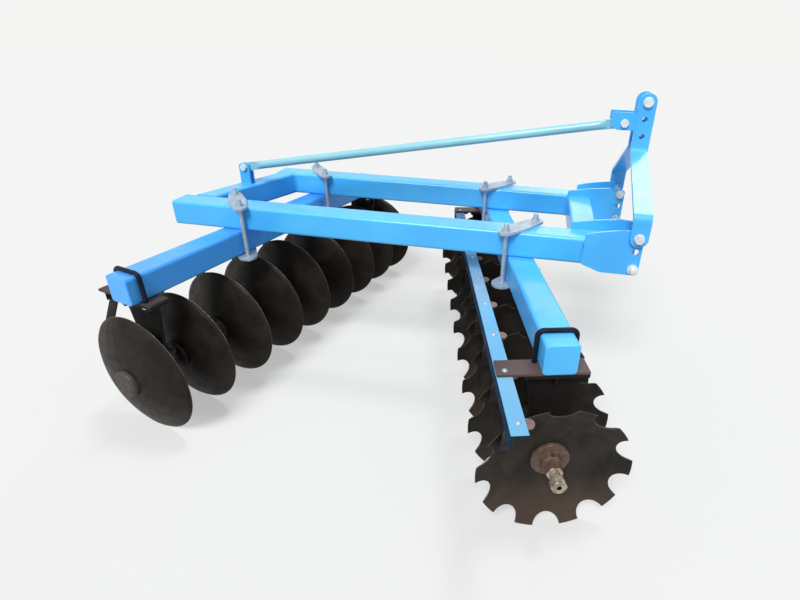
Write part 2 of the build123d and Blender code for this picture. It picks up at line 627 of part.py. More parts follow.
def ring_nut(across_flats, start, length, bore):
    """A hexagon nut on the shaft, with its outer edges turned off to a cone."""
    nut = hexagon_x(across_flats, start, start + length, 0, 0)
    corner = across_flats / sqrt(3)
    cone = [(start, 0), (start, corner), (start + length - 4, corner), (start + length, corner - 4), (start + length, 0)]
    nut &= revolve(make_face(Polyline(*cone, close=True)), Axis.X)
    return nut - rod_x(2 * bore, start - 1, start + length + 1, 0, 0)


def end_fittings(gang):
    """A hubbed washer, a nut and a lock nut in the hollow at one end and a rounded cap on the other."""
    low, high = shaft_span(gang)
    bore = SHAFT_END / 2 + PIN_CLEARANCE
    washer_radius = DISH_FLAT - END_WASHER_MARGIN
    start = END_WASHER_THICKNESS + END_COLLAR_LENGTH
    disc_washer = rod_x(2 * washer_radius, 0, END_WASHER_THICKNESS, 0, 0)
    disc_washer = fillet(disc_washer.edges().sort_by(Axis.X)[-1], END_ROUNDING)
    hub = rod_x(2 * END_COLLAR, 0, start, 0, 0)
    washer = disc_washer + fillet(hub.edges().sort_by(Axis.X)[-1], END_ROUNDING)
    washer -= rod_x(2 * bore, -1, start + 1, 0, 0)
    nut = ring_nut(END_NUT, start, END_NUT_LENGTH, bore)
    lock_nut = ring_nut(LOCK_NUT, SHAFT_OVERHANG - LOCK_NUT_LENGTH, LOCK_NUT_LENGTH, bore)
    cap = rod_x(2 * END_CAP, 0, END_CAP_LENGTH, 0, 0)
    cap = fillet(cap.edges().sort_by(Axis.X)[-1], END_CAP_ROUNDING)
    cap -= rod_x(2 * bore, -1, END_CAP_LENGTH - END_CAP_WALL + PIN_CLEARANCE, 0, 0)
    right_at = Pos(high, 0, axle_height(gang))
    left_at = Pos(low, 0, axle_height(gang)) * Rot(0, 0, 180)
    hollow_at, domed_at = (right_at, left_at) if gang["cupped"] == 1 else (left_at, right_at)
    return [hollow_at * washer, hollow_at * nut, hollow_at * lock_nut, domed_at * cap]


# ================================================================ on the gang beams

def gang_beam(gang):
    """The square tube that carries a gang."""
    right, left = hanger_places(gang)
    high = right + gang["beam_end"]
    low = left - gang["beam_end"]
    return Pos(low, 0, GANG_BEAM_UNDERSIDE + TUBE / 2) * square_tube(high - low)


def u_bolt_leg():
    """How far a U-bolt's leg is from the middle of the gang beam."""
    return TUBE / 2 + U_BOLT_GAP + U_BOLT / 2


def u_bolt_place(gang, place):
    """A U-bolt's place beside its standard."""
    return place - gang["cupped"] * U_BOLT_OFFSET


def u_bolt_holes(gang, place):
    """Cutters for a U-bolt's legs through whatever it clamps."""
    leg = u_bolt_leg()
    middle = u_bolt_place(gang, place)
    return [rod_z(U_BOLT + 2 * PIN_CLEARANCE, 0, FRAME_TOP, middle, side * leg) for side in (1, -1)]


def hangers(gang):
    """The welded standards: a foot under the beam, a tapering plate and a seat for the bearing."""
    pieces = []
    seat_top = axle_height(gang) + BEARING_HEIGHT + FOOT_THICKNESS
    foot_length = TUBE + 2 * FOOT_MARGIN
    seat_length = STANDARD_BOTTOM + 2 * SEAT_MARGIN
    for place in hanger_places(gang):
        foot = Pos(place, 0, (FOOT_TOP + FOOT_BOTTOM) / 2) * Box(FOOT_WIDTH, foot_length, FOOT_THICKNESS)
        outline = Polyline(
            (-STANDARD_TOP / 2, FOOT_BOTTOM),
            (STANDARD_TOP / 2, FOOT_BOTTOM),
            (STANDARD_BOTTOM / 2, seat_top),
            (-STANDARD_BOTTOM / 2, seat_top),
            close=True,
        )
        plate = extrude(Plane.YZ * make_face(outline), STANDARD_THICKNESS / 2, both=True)
        seat = Pos(place, 0, seat_top - FOOT_THICKNESS / 2) * Box(FOOT_WIDTH, seat_length, FOOT_THICKNESS)
        standard = foot + Pos(place, 0, 0) * plate + seat
        for level, step in ((FOOT_BOTTOM, -1), (seat_top, 1)):
            rib = make_face(
                Polyline((0, level), (FOOT_WIDTH / 2, level), (0, level + step * GUSSET_HEIGHT), close=True)
            )
            rib = extrude(Plane.XZ * rib, GUSSET_THICKNESS / 2, both=True)
            standard += Pos(place, 0, 0) * (rib if gang["cupped"] == 1 else mirror(rib, Plane.YZ))
        for hole in u_bolt_holes(gang, place):
            standard -= hole
        pieces.append(standard)
    return pieces


def scraper_arms(gang):
    """The flat arms clamped between the gang beam and the standards' feet."""
    pieces = []
    for place in hanger_places(gang):
        arm = Box(ARM_WIDTH, ARM_REAR + ARM_FRONT, ARM_THICKNESS)
        arm = Pos(place, (ARM_FRONT - ARM_REAR) / 2, ARM_TOP - ARM_THICKNESS / 2) * arm
        for hole in u_bolt_holes(gang, place):
            arm -= hole
        pieces.append(arm)
    return pieces


def u_bolts(gang):
    """Square-bent round bars over the gang beam, with a nut under the foot on each leg."""
    pieces = []
    leg = u_bolt_leg()
    top = GANG_BEAM_UNDERSIDE + TUBE + U_BOLT_GAP + U_BOLT / 2
    bottom = FOOT_BOTTOM - U_BOLT_TAIL
    bend = TUBE_CORNER + U_BOLT_GAP + U_BOLT / 2
    for standard in hanger_places(gang):
        place = u_bolt_place(gang, standard)
        path = FilletPolyline(
            (place, -leg, bottom), (place, -leg, top), (place, leg, top), (place, leg, bottom), radius=bend
        )
        bolt = sweep(Plane(origin=path @ 0, z_dir=path % 0) * Circle(U_BOLT / 2), path)
        for side in (1, -1):
            bolt += hexagon_z(NUT_RATIO * U_BOLT, FOOT_BOTTOM - U_BOLT_NUT, FOOT_BOTTOM, place, side * leg)
        pieces.append(bolt)
    return pieces


def bearing_housings(gang):
    """Cast housings in two flanged halves, hung by a ribbed pad under the standards' seats."""
    pieces = []
    top = BEARING_HEIGHT - BEARING_PAD
    half_pad = STANDARD_BOTTOM / 2
    body = extrude(Plane.YZ * Circle(BEARING_RADIUS), BEARING_WIDTH / 2, both=True)
    body += Box(BEARING_WIDTH - BEARING_PAD, 2 * (BEARING_RADIUS + SPLIT_FLANGE), 2 * SPLIT_THICKNESS)
    web = Polyline((-half_pad, top), (half_pad, top), (BEARING_RADIUS, 0), (-BEARING_RADIUS, 0), close=True)
    body += extrude(Plane.YZ * make_face(web), BEARING_WIDTH / 4, both=True)
    body += Pos(0, 0, top + BEARING_PAD / 2) * Box(BEARING_WIDTH, STANDARD_BOTTOM + 2 * SEAT_MARGIN, BEARING_PAD)
    seam = Box(2 * BEARING_WIDTH, 4 * BEARING_RADIUS, SPLIT_GROOVE)
    seam -= Box(BEARING_WIDTH - 2 * BEARING_PAD, 2 * BEARING_RADIUS, 2 * SPLIT_GROOVE)
    body -= seam
    body -= extrude(Plane.YZ * Circle(JOURNAL + JOURNAL_CLEARANCE), BEARING_WIDTH, both=True)
    for place in hanger_places(gang):
        pieces.append(Pos(place, 0, axle_height(gang)) * body)
    return pieces


def scraper_places(gang):
    """Where the foot of each scraper sits on the bar: on the hollow side of its disc."""
    reach = RIM_DEPTH + SCRAPER_STANDOFF
    return [hub + gang["cupped"] * reach for hub in hubs(gang)]


def scraper_bar(gang):
    """The angle iron behind the gang, its flat leg under the arms and its other leg down the back."""
    places = scraper_places(gang)
    low = min(places) - SCRAPER_BAR_OVERHANG
    high = max(places) + SCRAPER_BAR_OVERHANG
    section = [
        (BAR_FRONT, BAR_TOP),
        (BAR_FRONT - ANGLE_LEG, BAR_TOP),
        (BAR_FRONT - ANGLE_LEG, BAR_TOP - ANGLE_LEG),
        (BAR_FRONT - ANGLE_LEG + ANGLE_THICKNESS, BAR_TOP - ANGLE_LEG),
        (BAR_FRONT - ANGLE_LEG + ANGLE_THICKNESS, BAR_TOP - ANGLE_THICKNESS),
        (BAR_FRONT, BAR_TOP - ANGLE_THICKNESS),
    ]
    bar = extrude(Plane.YZ * make_face(Polyline(*section, close=True)), high - low)
    return Pos(low, 0, 0) * bar


def scrapers(gang):
    """A bent flat blade for each disc, on a strap under the bar, down to the hollow face near the rim."""
    pieces = []
    height = axle_height(gang)
    tab_top = BAR_TOP - ANGLE_THICKNESS
    foot_z = tab_top - TAB_THICKNESS - SCRAPER_THICKNESS / 2
    half = SCRAPER_THICKNESS / 2
    edge_v = BAR_FRONT - SCRAPER_WIDTH / 2
    tip_z = height + SCRAPER_TIP
    tip_radius = hypot(edge_v - SCRAPER_WIDTH / 2, tip_z - height)
    tip = dish_depth(min(tip_radius, DISC_RADIUS)) - RIM_DEPTH + SCRAPER_GAP + half
    side = gang["cupped"]
    profile = [
        (SCRAPER_STANDOFF + SCRAPER_FOOT, foot_z),
        (SCRAPER_STANDOFF - SCRAPER_FOOT, foot_z),
        (2 * SCRAPER_GAP + SCRAPER_THICKNESS, height + DISC_RADIUS * SCRAPER_BEND),
        (tip, tip_z),
    ]
    for hub in hubs(gang):
        rim = hub + side * RIM_DEPTH
        points = [(rim + side * u, z) for u, z in profile]
        blade = extrude(Plane.XZ * bent_strip(points, SCRAPER_THICKNESS, SCRAPER_FOLD), SCRAPER_WIDTH / 2, both=True)
        strap = Pos(rim + side * SCRAPER_STANDOFF, edge_v, 0)
        tab_end = BAR_FRONT + TAB_REACH - TAB_WIDTH / 2 - edge_v
        tab = Pos(0, tab_end) * Circle(TAB_WIDTH / 2)
        tab += Pos(0, (tab_end - SCRAPER_WIDTH / 2) / 2) * Rectangle(TAB_WIDTH, tab_end + SCRAPER_WIDTH / 2)
        tab = Pos(0, 0, tab_top - TAB_THICKNESS) * extrude(tab, TAB_THICKNESS)
        pieces.append(Pos(0, edge_v, 0) * blade + strap * tab)
    return pieces


def clamp_plate(rod_distance, width, end_width):
    """A plate that is widest in its middle and rounded at its ends, centred on the origin."""
    reach = rod_distance / 2 + CLAMP_END
    circles = Circle(width / 2).edges()
    for side in (1, -1):
        circles += (Pos(side * reach, 0) * Circle(end_width / 2)).edges()
    return extrude(make_hull(circles), CLAMP_PLATE)


def beam_clamps(gang):
    """A top plate, a bottom plate and two tie rods at each crossing of the gang beam."""
    pieces = []
    angle = radians(gang["angle"])
    side = 1 if gang["angle"] > 0 else -1
    reach = TUBE / 2 + CLAMP_STANDOFF + CLAMP_ROD / 2
    bottom_top = GANG_BEAM_UNDERSIDE
    for x in (MAIN_BEAM_X, -MAIN_BEAM_X):
        rods = []
        for outward in (1, -1):
            v = -side * outward * reach
            u = (x + outward * reach + v * sin(angle)) / cos(angle)
            rods.append((u, v))
        (u_1, v_1), (u_2, v_2) = rods
        turn = degrees(atan2(v_1 - v_2, u_1 - u_2))
        for low, width, end_width in (
            (FRAME_TOP, CLAMP_WIDTH, CLAMP_END_WIDTH),
            (bottom_top - CLAMP_PLATE, CLAMP_LOW_WIDTH, CLAMP_LOW_END_WIDTH),
        ):
            plate = clamp_plate(hypot(u_1 - u_2, v_1 - v_2), width, end_width)
            plate = Pos((u_1 + u_2) / 2, (v_1 + v_2) / 2, low) * Rot(0, 0, turn) * plate
            for u, v in rods:
                plate -= rod_z(CLAMP_ROD + 2 * PIN_CLEARANCE, 0, 2 * FRAME_TOP, u, v)
            pieces.append(plate)
        for u, v in rods:
            top = FRAME_TOP + CLAMP_PLATE
            bottom = bottom_top - CLAMP_PLATE
            rod = rod_z(CLAMP_ROD, bottom - CLAMP_TAIL, top + CLAMP_STUD, u, v)
            rod += hexagon_z(NUT_RATIO * CLAMP_ROD, top, top + CLAMP_NUT, u, v)
            rod += hexagon_z(NUT_RATIO * CLAMP_ROD, bottom - CLAMP_NUT, bottom, u, v)
            pieces.append(rod)
    return pieces


# ================================================================ the whole machine
def build():
    """Every node, by name, in the drawing frame."""
    nodes = {
        "main_beam_right": main_beam(MAIN_BEAM_X, 0),
        "main_beam_left": main_beam(-MAIN_BEAM_X, rear_cross_line(-INNER_FACE_X) - LEFT_BEAM_OVERHANG),
        "rear_cross_member": rear_cross_member(),
        "front_cross_member": front_cross_member(),
        "hitch_plates": hitch_plates(),
        "hitch_pins": hitch_pins(),
        "mast": mast(),
        "mast_bolts": mast_bolts() + stay_bolts(),
        "mast_stay": mast_stay(),
        "mast_stay_ears": stay_ears(),
    }
    for name, gang in GANGS.items():
        place = Location((0, gang["y"], 0), (0, 0, gang["angle"]))
        own = {
            "gang_beam": gang_beam(gang),
            "scraper_bar": scraper_bar(gang),
            "scrapers": scrapers(gang),
            "gang_shaft": gang_shaft(gang),
            "spools": spools(gang),
            "end_fittings": end_fittings(gang),
        }
        shared = {
            "beam_clamps": beam_clamps(gang),
            "hangers": hangers(gang),
            "hanger_u_bolts": u_bolts(gang),
            "bearing_housings": bearing_housings(gang),
            "scraper_arms": scraper_arms(gang),
        }
        for piece, shape in own.items():
            solids = shape if isinstance(shape, list) else [shape]
            nodes[f"{piece}_{name}"] = [place * solid for solid in solids]
        for piece, shape in shared.items():
            nodes.setdefault(piece, []).extend(place * solid for solid in shape)
        pattern = disc(gang["notched"])
        for index, hub in enumerate(hubs(gang), start=1):
            nodes[f"disc_{name}_{index}"] = place * place_disc(gang, pattern, hub)
    for name, shape in nodes.items():
        if isinstance(shape, list):
            nodes[name] = Compound([solid for piece in shape for solid in piece.solids()])
    return nodes


NODES = build()
BOX = Compound([solid for shape in NODES.values() for solid in shape.solids()]).bounding_box()
ORIGIN = Vector(BOX.center().X, BOX.center().Y, 0)

os.makedirs("parts", exist_ok=True)
for node_name, node_shape in NODES.items():
    export_step(Pos(-ORIGIN.X, -ORIGIN.Y, 0) * node_shape, f"parts/{node_name}.step")
print(f"{len(NODES)} nodes, box {BOX.size.X:.1f} x {BOX.size.Y:.1f} x {BOX.size.Z:.1f}, lowest {BOX.min.Z:.3f}")
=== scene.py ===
"""Looks of a mounted disc harrow: its finishes, fasteners, threads and welds, and the studio it stands in.

Sizes are in metres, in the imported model's frame: +X to the machine's right, +Y forwards to the hitch, +Z up.
"""

import json
import logging
import math
from collections.abc import Callable, Iterable, Iterator
from contextlib import AbstractContextManager, contextmanager
from dataclasses import dataclass, replace
from enum import Enum
from itertools import product

import bmesh
import bpy
from mathutils import Matrix, Vector


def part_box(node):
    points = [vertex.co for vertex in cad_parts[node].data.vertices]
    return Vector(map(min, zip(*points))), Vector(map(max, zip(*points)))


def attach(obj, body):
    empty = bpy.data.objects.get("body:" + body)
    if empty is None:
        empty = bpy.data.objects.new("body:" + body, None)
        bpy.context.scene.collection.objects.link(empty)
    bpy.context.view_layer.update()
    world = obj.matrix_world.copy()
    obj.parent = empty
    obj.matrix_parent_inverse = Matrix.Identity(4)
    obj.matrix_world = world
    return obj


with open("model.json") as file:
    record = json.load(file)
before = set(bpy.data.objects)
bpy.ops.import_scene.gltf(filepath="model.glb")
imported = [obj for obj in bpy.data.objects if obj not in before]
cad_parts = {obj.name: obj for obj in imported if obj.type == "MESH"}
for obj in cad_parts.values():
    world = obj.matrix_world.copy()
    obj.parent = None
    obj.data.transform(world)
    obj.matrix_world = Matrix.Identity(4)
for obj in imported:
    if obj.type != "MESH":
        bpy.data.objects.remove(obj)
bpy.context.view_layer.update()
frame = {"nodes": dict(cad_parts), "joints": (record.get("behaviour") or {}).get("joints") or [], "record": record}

LOG = logging.getLogger("harrow")

Colour = tuple[float, float, float]
Step = tuple[float, float, float]
Line = tuple[Step, Step]
Socket = bpy.types.NodeSocket
Feed = Socket | float | Colour
Inputs = dict[str | int, Feed]
Element = bpy.types.MeshEdge | bpy.types.MeshPolygon
Editing = AbstractContextManager[None]


# ---------------------------------------------------------------- shader trees


class Nodes:
    """A node tree, built one node at a time."""

    def __init__(self, tree: bpy.types.NodeTree) -> None:
        """Take up a tree."""
        self.tree = tree

    def feed(self, node: bpy.types.Node, inputs: Inputs) -> None:
        """Link outputs to a node's inputs, or set plain values on them.

        Args:
            node: The node.
            inputs: An output, a number or a colour for each input's name or number.
        """
        for name, value in inputs.items():
            if isinstance(value, Socket):
                self.tree.links.new(value, node.inputs[name])
            else:
                node.inputs[name].default_value = (*value, 1.0) if isinstance(value, tuple) else value

    def add(self, kind: str, inputs: Inputs | None = None, **settings: object) -> bpy.types.Node:
        """Add a node.

        Args:
            kind: The node's type.
            inputs: What feeds it.
            settings: Properties to set on it.

        Returns:
            The new node.
        """
        node = self.tree.nodes.new(kind)
        for key, value in settings.items():
            setattr(node, key, value)
        self.feed(node, inputs or {})
        return node

    def math(self, operation: str, first: Feed, second: Feed = 0.0) -> Socket:
        """Calculate with two values, by a Math node's operation."""
        return self.add("ShaderNodeMath", {0: first, 1: second}, operation=operation).outputs[0]

    def times(self, first: Feed, second: Feed) -> Socket:
        """Multiply two values."""
        return self.math("MULTIPLY", first, second)

    def seen(self) -> Socket:
        """1 for what is looked at, in a mirror too, and 0 for light on its way to a surface."""
        path = self.add("ShaderNodeLightPath").outputs
        return self.math("MAXIMUM", path["Is Camera Ray"], path["Is Glossy Ray"])


class Shader(Nodes):
    """A material's node tree."""

    def __init__(self, name: str) -> None:
        """Start a material with a Principled shader.

        Args:
            name: The material's name.
        """
        self.material = bpy.data.materials.new(name)
        self.material.use_nodes = True
        super().__init__(self.material.node_tree)
        self.position = self.add("ShaderNodeTexCoord").outputs["Object"]

    def finished(self, inputs: Inputs) -> bpy.types.Material:
        """Feed the Principled shader, and return its material."""
        self.feed(self.tree.nodes["Principled BSDF"], inputs)
        return self.material

    def split(self, vector: Socket) -> bpy.types.NodeOutputs:
        """Take a vector apart into outputs X, Y and Z."""
        return self.add("ShaderNodeSeparateXYZ", {0: vector}).outputs

    def blend(self, amount: Feed, first: Feed, second: Feed) -> Socket:
        """Mix two colours, with 0 to 1 of the second one."""
        inputs = {"Factor": amount, "A": first, "B": second}
        return self.add("ShaderNodeMix", inputs, data_type="RGBA").outputs["Result"]

    def noise(self, scale: float, detail: float, distortion: float = 0.0, at: Socket | None = None) -> Socket:
        """A noise of so many patches a metre, on the object's own position or at another."""
        inputs = {"Vector": at or self.position, "Scale": scale, "Detail": detail, "Distortion": distortion}
        return self.add("ShaderNodeTexNoise", inputs).outputs["Fac"]

    def spread(self, value: Socket, low: float, high: float, first: float = 0.0, last: float = 1.0) -> Socket:
        """Stretch a range of a value smoothly to another range."""
        inputs = {"Value": value, "From Min": low, "From Max": high, "To Min": first, "To Max": last}
        return self.add("ShaderNodeMapRange", inputs, interpolation_type="SMOOTHSTEP").outputs["Result"]

    def patches(self, noise: tuple[float, ...], low: float, high: float, *ends: float) -> Socket:
        """Soft patches: a noise's middle range, stretched from 0 to 1 or between two other ends."""
        return self.spread(self.noise(*noise), low, high, *ends)

    def bump(self, height: Socket, distance: float, strength: float, normal: Socket) -> Socket:
        """Bend a normal by a height pattern, of which a share shows."""
        inputs = {"Height": height, "Distance": distance, "Strength": strength, "Normal": normal}
        return self.add("ShaderNodeBump", inputs).outputs["Normal"]

    def face(self) -> Socket:
        """The face's own normal."""
        return self.add("ShaderNodeNewGeometry").outputs["Normal"]

    def facing_up(self) -> Socket:
        """How far a face looks up, from 0 on its sides to 1 on its top."""
        return self.spread(self.split(self.face())["Z"], 0.2, 0.9)

    def edges(self, radius: float) -> tuple[Socket, Socket]:
        """Find the sharp edges of a piece.

        Args:
            radius: Width of the band along each edge.

        Returns:
            The softened normal, and a value that rises from 0 on flat faces to 1 at edges.
        """
        soft = self.add("ShaderNodeBevel", {"Radius": radius}, samples=4).outputs["Normal"]
        alike = self.add("ShaderNodeVectorMath", {0: soft, 1: self.face()}, operation="DOT_PRODUCT")
        return soft, self.spread(alike.outputs["Value"], 0.995, 0.8)


class ShaftShader(Shader):
    """A material's node tree in a gang's own directions: along its shaft from its middle, across and up."""

    def __init__(self, name: str, place: Matrix) -> None:
        """Start a material, and read the surface's place in the gang's own directions.

        Args:
            name: The material's name.
            place: The gang's own directions.
        """
        super().__init__(name)
        inputs = {"Vector": self.position, "Location": place.translation, "Rotation": place.to_euler()}
        own = self.split(self.add("ShaderNodeMapping", inputs, vector_type="TEXTURE").outputs["Vector"])
        self.along, self.across, self.up = (own[axis] for axis in "XYZ")

    def radius(self) -> Socket:
        """The surface's distance from the shaft's centre line."""
        squares = (self.times(side, side) for side in (self.across, self.up))
        return self.math("SQRT", self.math("ADD", *squares))

    def rings(self, scale: float) -> Socket:
        """A pattern of rings about the shaft, as turning and rubbing soil leave."""
        inputs = {"X": self.radius(), "Y": self.times(self.along, 0.15)}
        return self.noise(scale, 4.0, at=self.add("ShaderNodeCombineXYZ", inputs).outputs[0])


class Finish:
    """A finish that makes its material once."""

    def build(self) -> bpy.types.Material:
        """Make the material."""
        raise NotImplementedError


@dataclass(frozen=True)
class Enamel(Finish):
    """Sprayed machine enamel with a faint orange peel, a little dust on its tops and rubbed edges.

    Where they are given, what lies behind the hitch and below a height takes colours of painted shade, with their
    own for its tops, and the sides take a colour of painted shade.
    """

    name: str
    colour: Colour
    faded: Colour
    dust: Colour = (0.42, 0.66, 0.84)
    dust_cover: float = 0.1
    wear: float = 0.25
    rubbed: Colour = (0.3, 0.6, 0.86)
    roughness: float = 0.34
    coat: float = 0.35
    shine: float = 0.4
    refraction: float = 1.5
    below: float = 9.0
    # Painted shade behind the hitch and below a height, on the sides and on the tops.
    painted_shade_behind: Colour | None = None
    painted_shade_behind_top: Colour | None = None
    # Painted shade on the sides.
    sides: Colour | None = None

    def build(self) -> bpy.types.Material:
        """Make the enamel.

        Returns:
            The material.
        """
        shader = Shader(self.name)
        up = shader.facing_up()
        paint = shader.blend(shader.patches((2.6, 4.0), 0.35, 0.7), self.colour, self.faded)
        # Painted shade: the sides take their own darker colour.
        if self.sides:
            paint = shader.blend(up, self.sides, paint)
        # Painted shade: what lies behind the hitch and below a height is deeper in colour, with its own shade on
        # its tops.
        if self.painted_shade_behind:
            place = shader.split(shader.position)
            under = shader.spread(place["Z"], self.below + 0.01, self.below - 0.01)
            behind = shader.spread(place["Y"], 0.9, -0.3)
            shade = shader.blend(up, self.painted_shade_behind, self.painted_shade_behind_top or self.painted_shade_behind)
            paint = shader.blend(shader.times(under, behind), paint, shade)
        dusty = shader.times(up, shader.patches((9.0, 6.0, 0.4), 0.3, 0.75))
        paint = shader.blend(shader.times(dusty, self.dust_cover), paint, self.dust)
        soft, edge = shader.edges(0.0022)
        rub = shader.times(edge, shader.patches((24.0, 3.0, 0.3), 0.4, 0.7))
        rough = shader.patches((30.0, 5.0), 0.2, 0.8, self.roughness - 0.06, self.roughness + 0.1)
        peel = shader.bump(shader.noise(420.0, 2.0), 0.0004, 0.2, soft)
        return shader.finished({
            "Base Color": shader.blend(shader.times(rub, self.wear), paint, self.rubbed),
            "Roughness": shader.math("MAXIMUM", rough, shader.times(dusty, 0.5)),
            "Coat Weight": self.coat,
            "Coat Roughness": 0.13,
            "Specular IOR Level": self.shine,
            "IOR": self.refraction,
            "Normal": shader.bump(shader.noise(16.0, 2.0), 0.0016, 0.12, peel),
        })


@dataclass(frozen=True)
class Metal(Finish):
    """Bare or plated metal with blotches, fine scratches and dirt."""

    name: str
    colour: Colour
    stain: Colour
    metallic: float
    roughness: float
    grain: float = 160.0
    relief: float = 0.0003
    shine: float = 0.5
    glint: float = 1.8

    def build(self) -> bpy.types.Material:
        """Make the metal.

        Returns:
            The material.
        """
        shader = Shader(self.name)
        soft, edge = shader.edges(0.0015)
        colour = shader.blend(shader.patches((28.0, 6.0, 0.6), 0.38, 0.68), self.colour, self.stain)
        bright = tuple(min(1.0, self.glint * channel) for channel in self.colour)
        rough = self.roughness - 0.1, self.roughness + 0.15
        return shader.finished({
            "Base Color": shader.blend(shader.times(edge, 0.35), colour, bright),
            "Metallic": self.metallic,
            "Specular IOR Level": self.shine,
            "Roughness": shader.patches((self.grain / 2, 6.0), 0.25, 0.75, *rough),
            "Normal": shader.bump(shader.noise(self.grain, 5.0), self.relief, 0.4, soft),
        })


@dataclass(frozen=True)
class Turned(Finish):
    """A finish whose pattern follows a gang's shaft, in that gang's own directions."""

    name: str
    place: Matrix


@dataclass(frozen=True)
class DiscSteel(Turned):
    """Dark heat-treated steel, marked faintly in rings, with a ground rim that is painted lighter also as a
    highlight along it, and a lighter brown towards the bottom that is dry soil and a painted reflection of the
    floor.
    """

    # The ground rim's colour, painted lighter also as a highlight along the rim.
    ground: Colour
    scale: Colour = (0.0155, 0.0128, 0.0102)
    lighter: Colour = (0.036, 0.0295, 0.0235)
    rust: Colour = (0.05, 0.03, 0.02)
    # Dry soil and a painted reflection of the floor, lighter towards the bottom.
    soil: Colour = (0.1, 0.067, 0.05)
    soil_and_reflection: float = 0.56

    def build(self) -> bpy.types.Material:
        """Make the disc steel.

        Returns:
            The material.
        """
        shader = ShaftShader(self.name, self.place)
        rings = shader.rings(110.0)
        steel = shader.blend(shader.patches((7.0, 7.0, 0.8), 0.35, 0.7), self.scale, self.lighter)
        steel = shader.blend(shader.spread(rings, 0.5, 0.8, 0.0, 0.5), steel, self.lighter)
        rust = shader.times(shader.patches((40.0, 8.0, 0.5), 0.55, 0.75), 0.35)
        steel = shader.blend(rust, steel, self.rust)
        # Lighter brown towards the bottom: dry soil and a painted reflection of the floor.
        height = shader.math("ADD", shader.up, shader.times(shader.noise(5.0, 4.0, 0.5), 0.24))
        steel = shader.blend(shader.times(shader.spread(height, 0.12, -0.16), self.soil_and_reflection), steel, self.soil)
        soft, edge = shader.edges(0.0032)
        # The ground rim, painted lighter also as a highlight along the rim.
        rim = shader.times(edge, shader.patches((18.0, 3.0), 0.3, 0.65, 0.3, 0.95))
        fine = shader.bump(rings, 0.0003, 0.15, soft)
        return shader.finished({
            "Base Color": shader.blend(rim, steel, self.ground),
            "Metallic": 0.05,
            "Specular IOR Level": 0.13,
            "Roughness": shader.patches((22.0, 6.0), 0.25, 0.75, 0.42, 0.6),
            "Normal": shader.bump(shader.noise(240.0, 5.0), 0.0003, 0.3, fine),
        })


@dataclass(frozen=True)
class ScraperPaint(Turned):
    """Dull black paint on the blades, and bare brownish steel on the tabs in front of the bar."""

    tab_from: float
    black: Colour = (0.012, 0.0105, 0.0095)
    scuffed: Colour = (0.035, 0.029, 0.025)
    chipped: Colour = (0.12, 0.1, 0.085)
    tab: Colour = (0.25, 0.175, 0.155)
    tab_stain: Colour = (0.13, 0.085, 0.07)

    def build(self) -> bpy.types.Material:
        """Make the scrapers' paint.

        Returns:
            The material.
        """
        shader = ShaftShader(self.name, self.place)
        tab = shader.spread(shader.across, self.tab_from - 0.0005, self.tab_from + 0.0005)
        blotches = shader.patches((30.0, 6.0, 0.6), 0.4, 0.7)
        soft, edge = shader.edges(0.0015)
        paint = shader.blend(blotches, self.black, self.scuffed)
        paint = shader.blend(shader.times(edge, 0.3), paint, self.chipped)
        return shader.finished({
            "Base Color": shader.blend(tab, paint, shader.blend(blotches, self.tab, self.tab_stain)),
            "Specular IOR Level": 0.12,
            "Roughness": shader.patches((40.0, 5.0), 0.25, 0.75, 0.42, 0.6),
            "Normal": shader.bump(shader.noise(220.0, 5.0), 0.0003, 0.3, soft),
        })


@dataclass(frozen=True)
class ShaftSteel(Turned):
    """Rusty washers and caps near the discs, brighter nuts at the tip, and painted shade in the turning centre's
    hole at the tip.
    """

    bright_from: float
    hollow: int
    rusty: Colour = (0.085, 0.05, 0.036)
    burnt: Colour = (0.15, 0.092, 0.066)
    bright: Colour = (0.56, 0.48, 0.38)
    dull: Colour = (0.27, 0.22, 0.17)
    rubbed: Colour = (0.34, 0.29, 0.24)
    # Painted shade in the turning centre's hole at the tip, and the radius of that hole.
    hole_shade: Colour = (0.012, 0.01, 0.008)
    hole_shade_radius: float = 0.009

    def build(self) -> bpy.types.Material:
        """Make the shaft's steel.

        Returns:
            The material.
        """
        shader = ShaftShader(self.name, self.place)
        outwards = shader.times(shader.along, float(self.hollow))
        tip = shader.spread(outwards, self.bright_from - 0.001, self.bright_from + 0.001)
        blotches = shader.patches((45.0, 7.0, 0.8), 0.36, 0.66)
        rusty = shader.blend(blotches, self.rusty, self.burnt)
        bright = shader.blend(blotches, self.bright, self.dull)
        soft, edge = shader.edges(0.0015)
        colour = shader.blend(shader.times(edge, 0.3), shader.blend(tip, rusty, bright), self.rubbed)
        # Painted shade in the turning centre's hole at the tip.
        hole_shade = shader.spread(shader.radius(), self.hole_shade_radius + 0.0006, self.hole_shade_radius)
        rough = shader.patches((80.0, 6.0), 0.25, 0.75, -0.06, 0.1)
        turned = shader.bump(shader.rings(900.0), 0.0003, 0.25, soft)
        return shader.finished({
            "Base Color": shader.blend(shader.times(tip, hole_shade), colour, self.hole_shade),
            "Metallic": shader.spread(tip, 0.0, 1.0, 0.05, 0.55),
            "Roughness": shader.math("ADD", rough, shader.spread(tip, 0.0, 1.0, 0.66, 0.36)),
            "Normal": shader.bump(shader.noise(260.0, 5.0), 0.0004, 0.4, turned),
        })


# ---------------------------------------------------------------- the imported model's own places


def shift(x: float, y: float, z: float) -> Matrix:
    """A plain move."""
    return Matrix.Translation((x, y, z))


def rise(z: float) -> Matrix:
    """A plain move upwards."""
    return shift(0.0, 0.0, z)


@dataclass(frozen=True)
class Block:
    """The box round one solid."""

    low: Vector
    high: Vector

    @property
    def middle(self) -> Vector:
        """The box's centre."""
        return (self.low + self.high) / 2

    @property
    def size(self) -> Vector:
        """The box's three sides."""
        return self.high - self.low


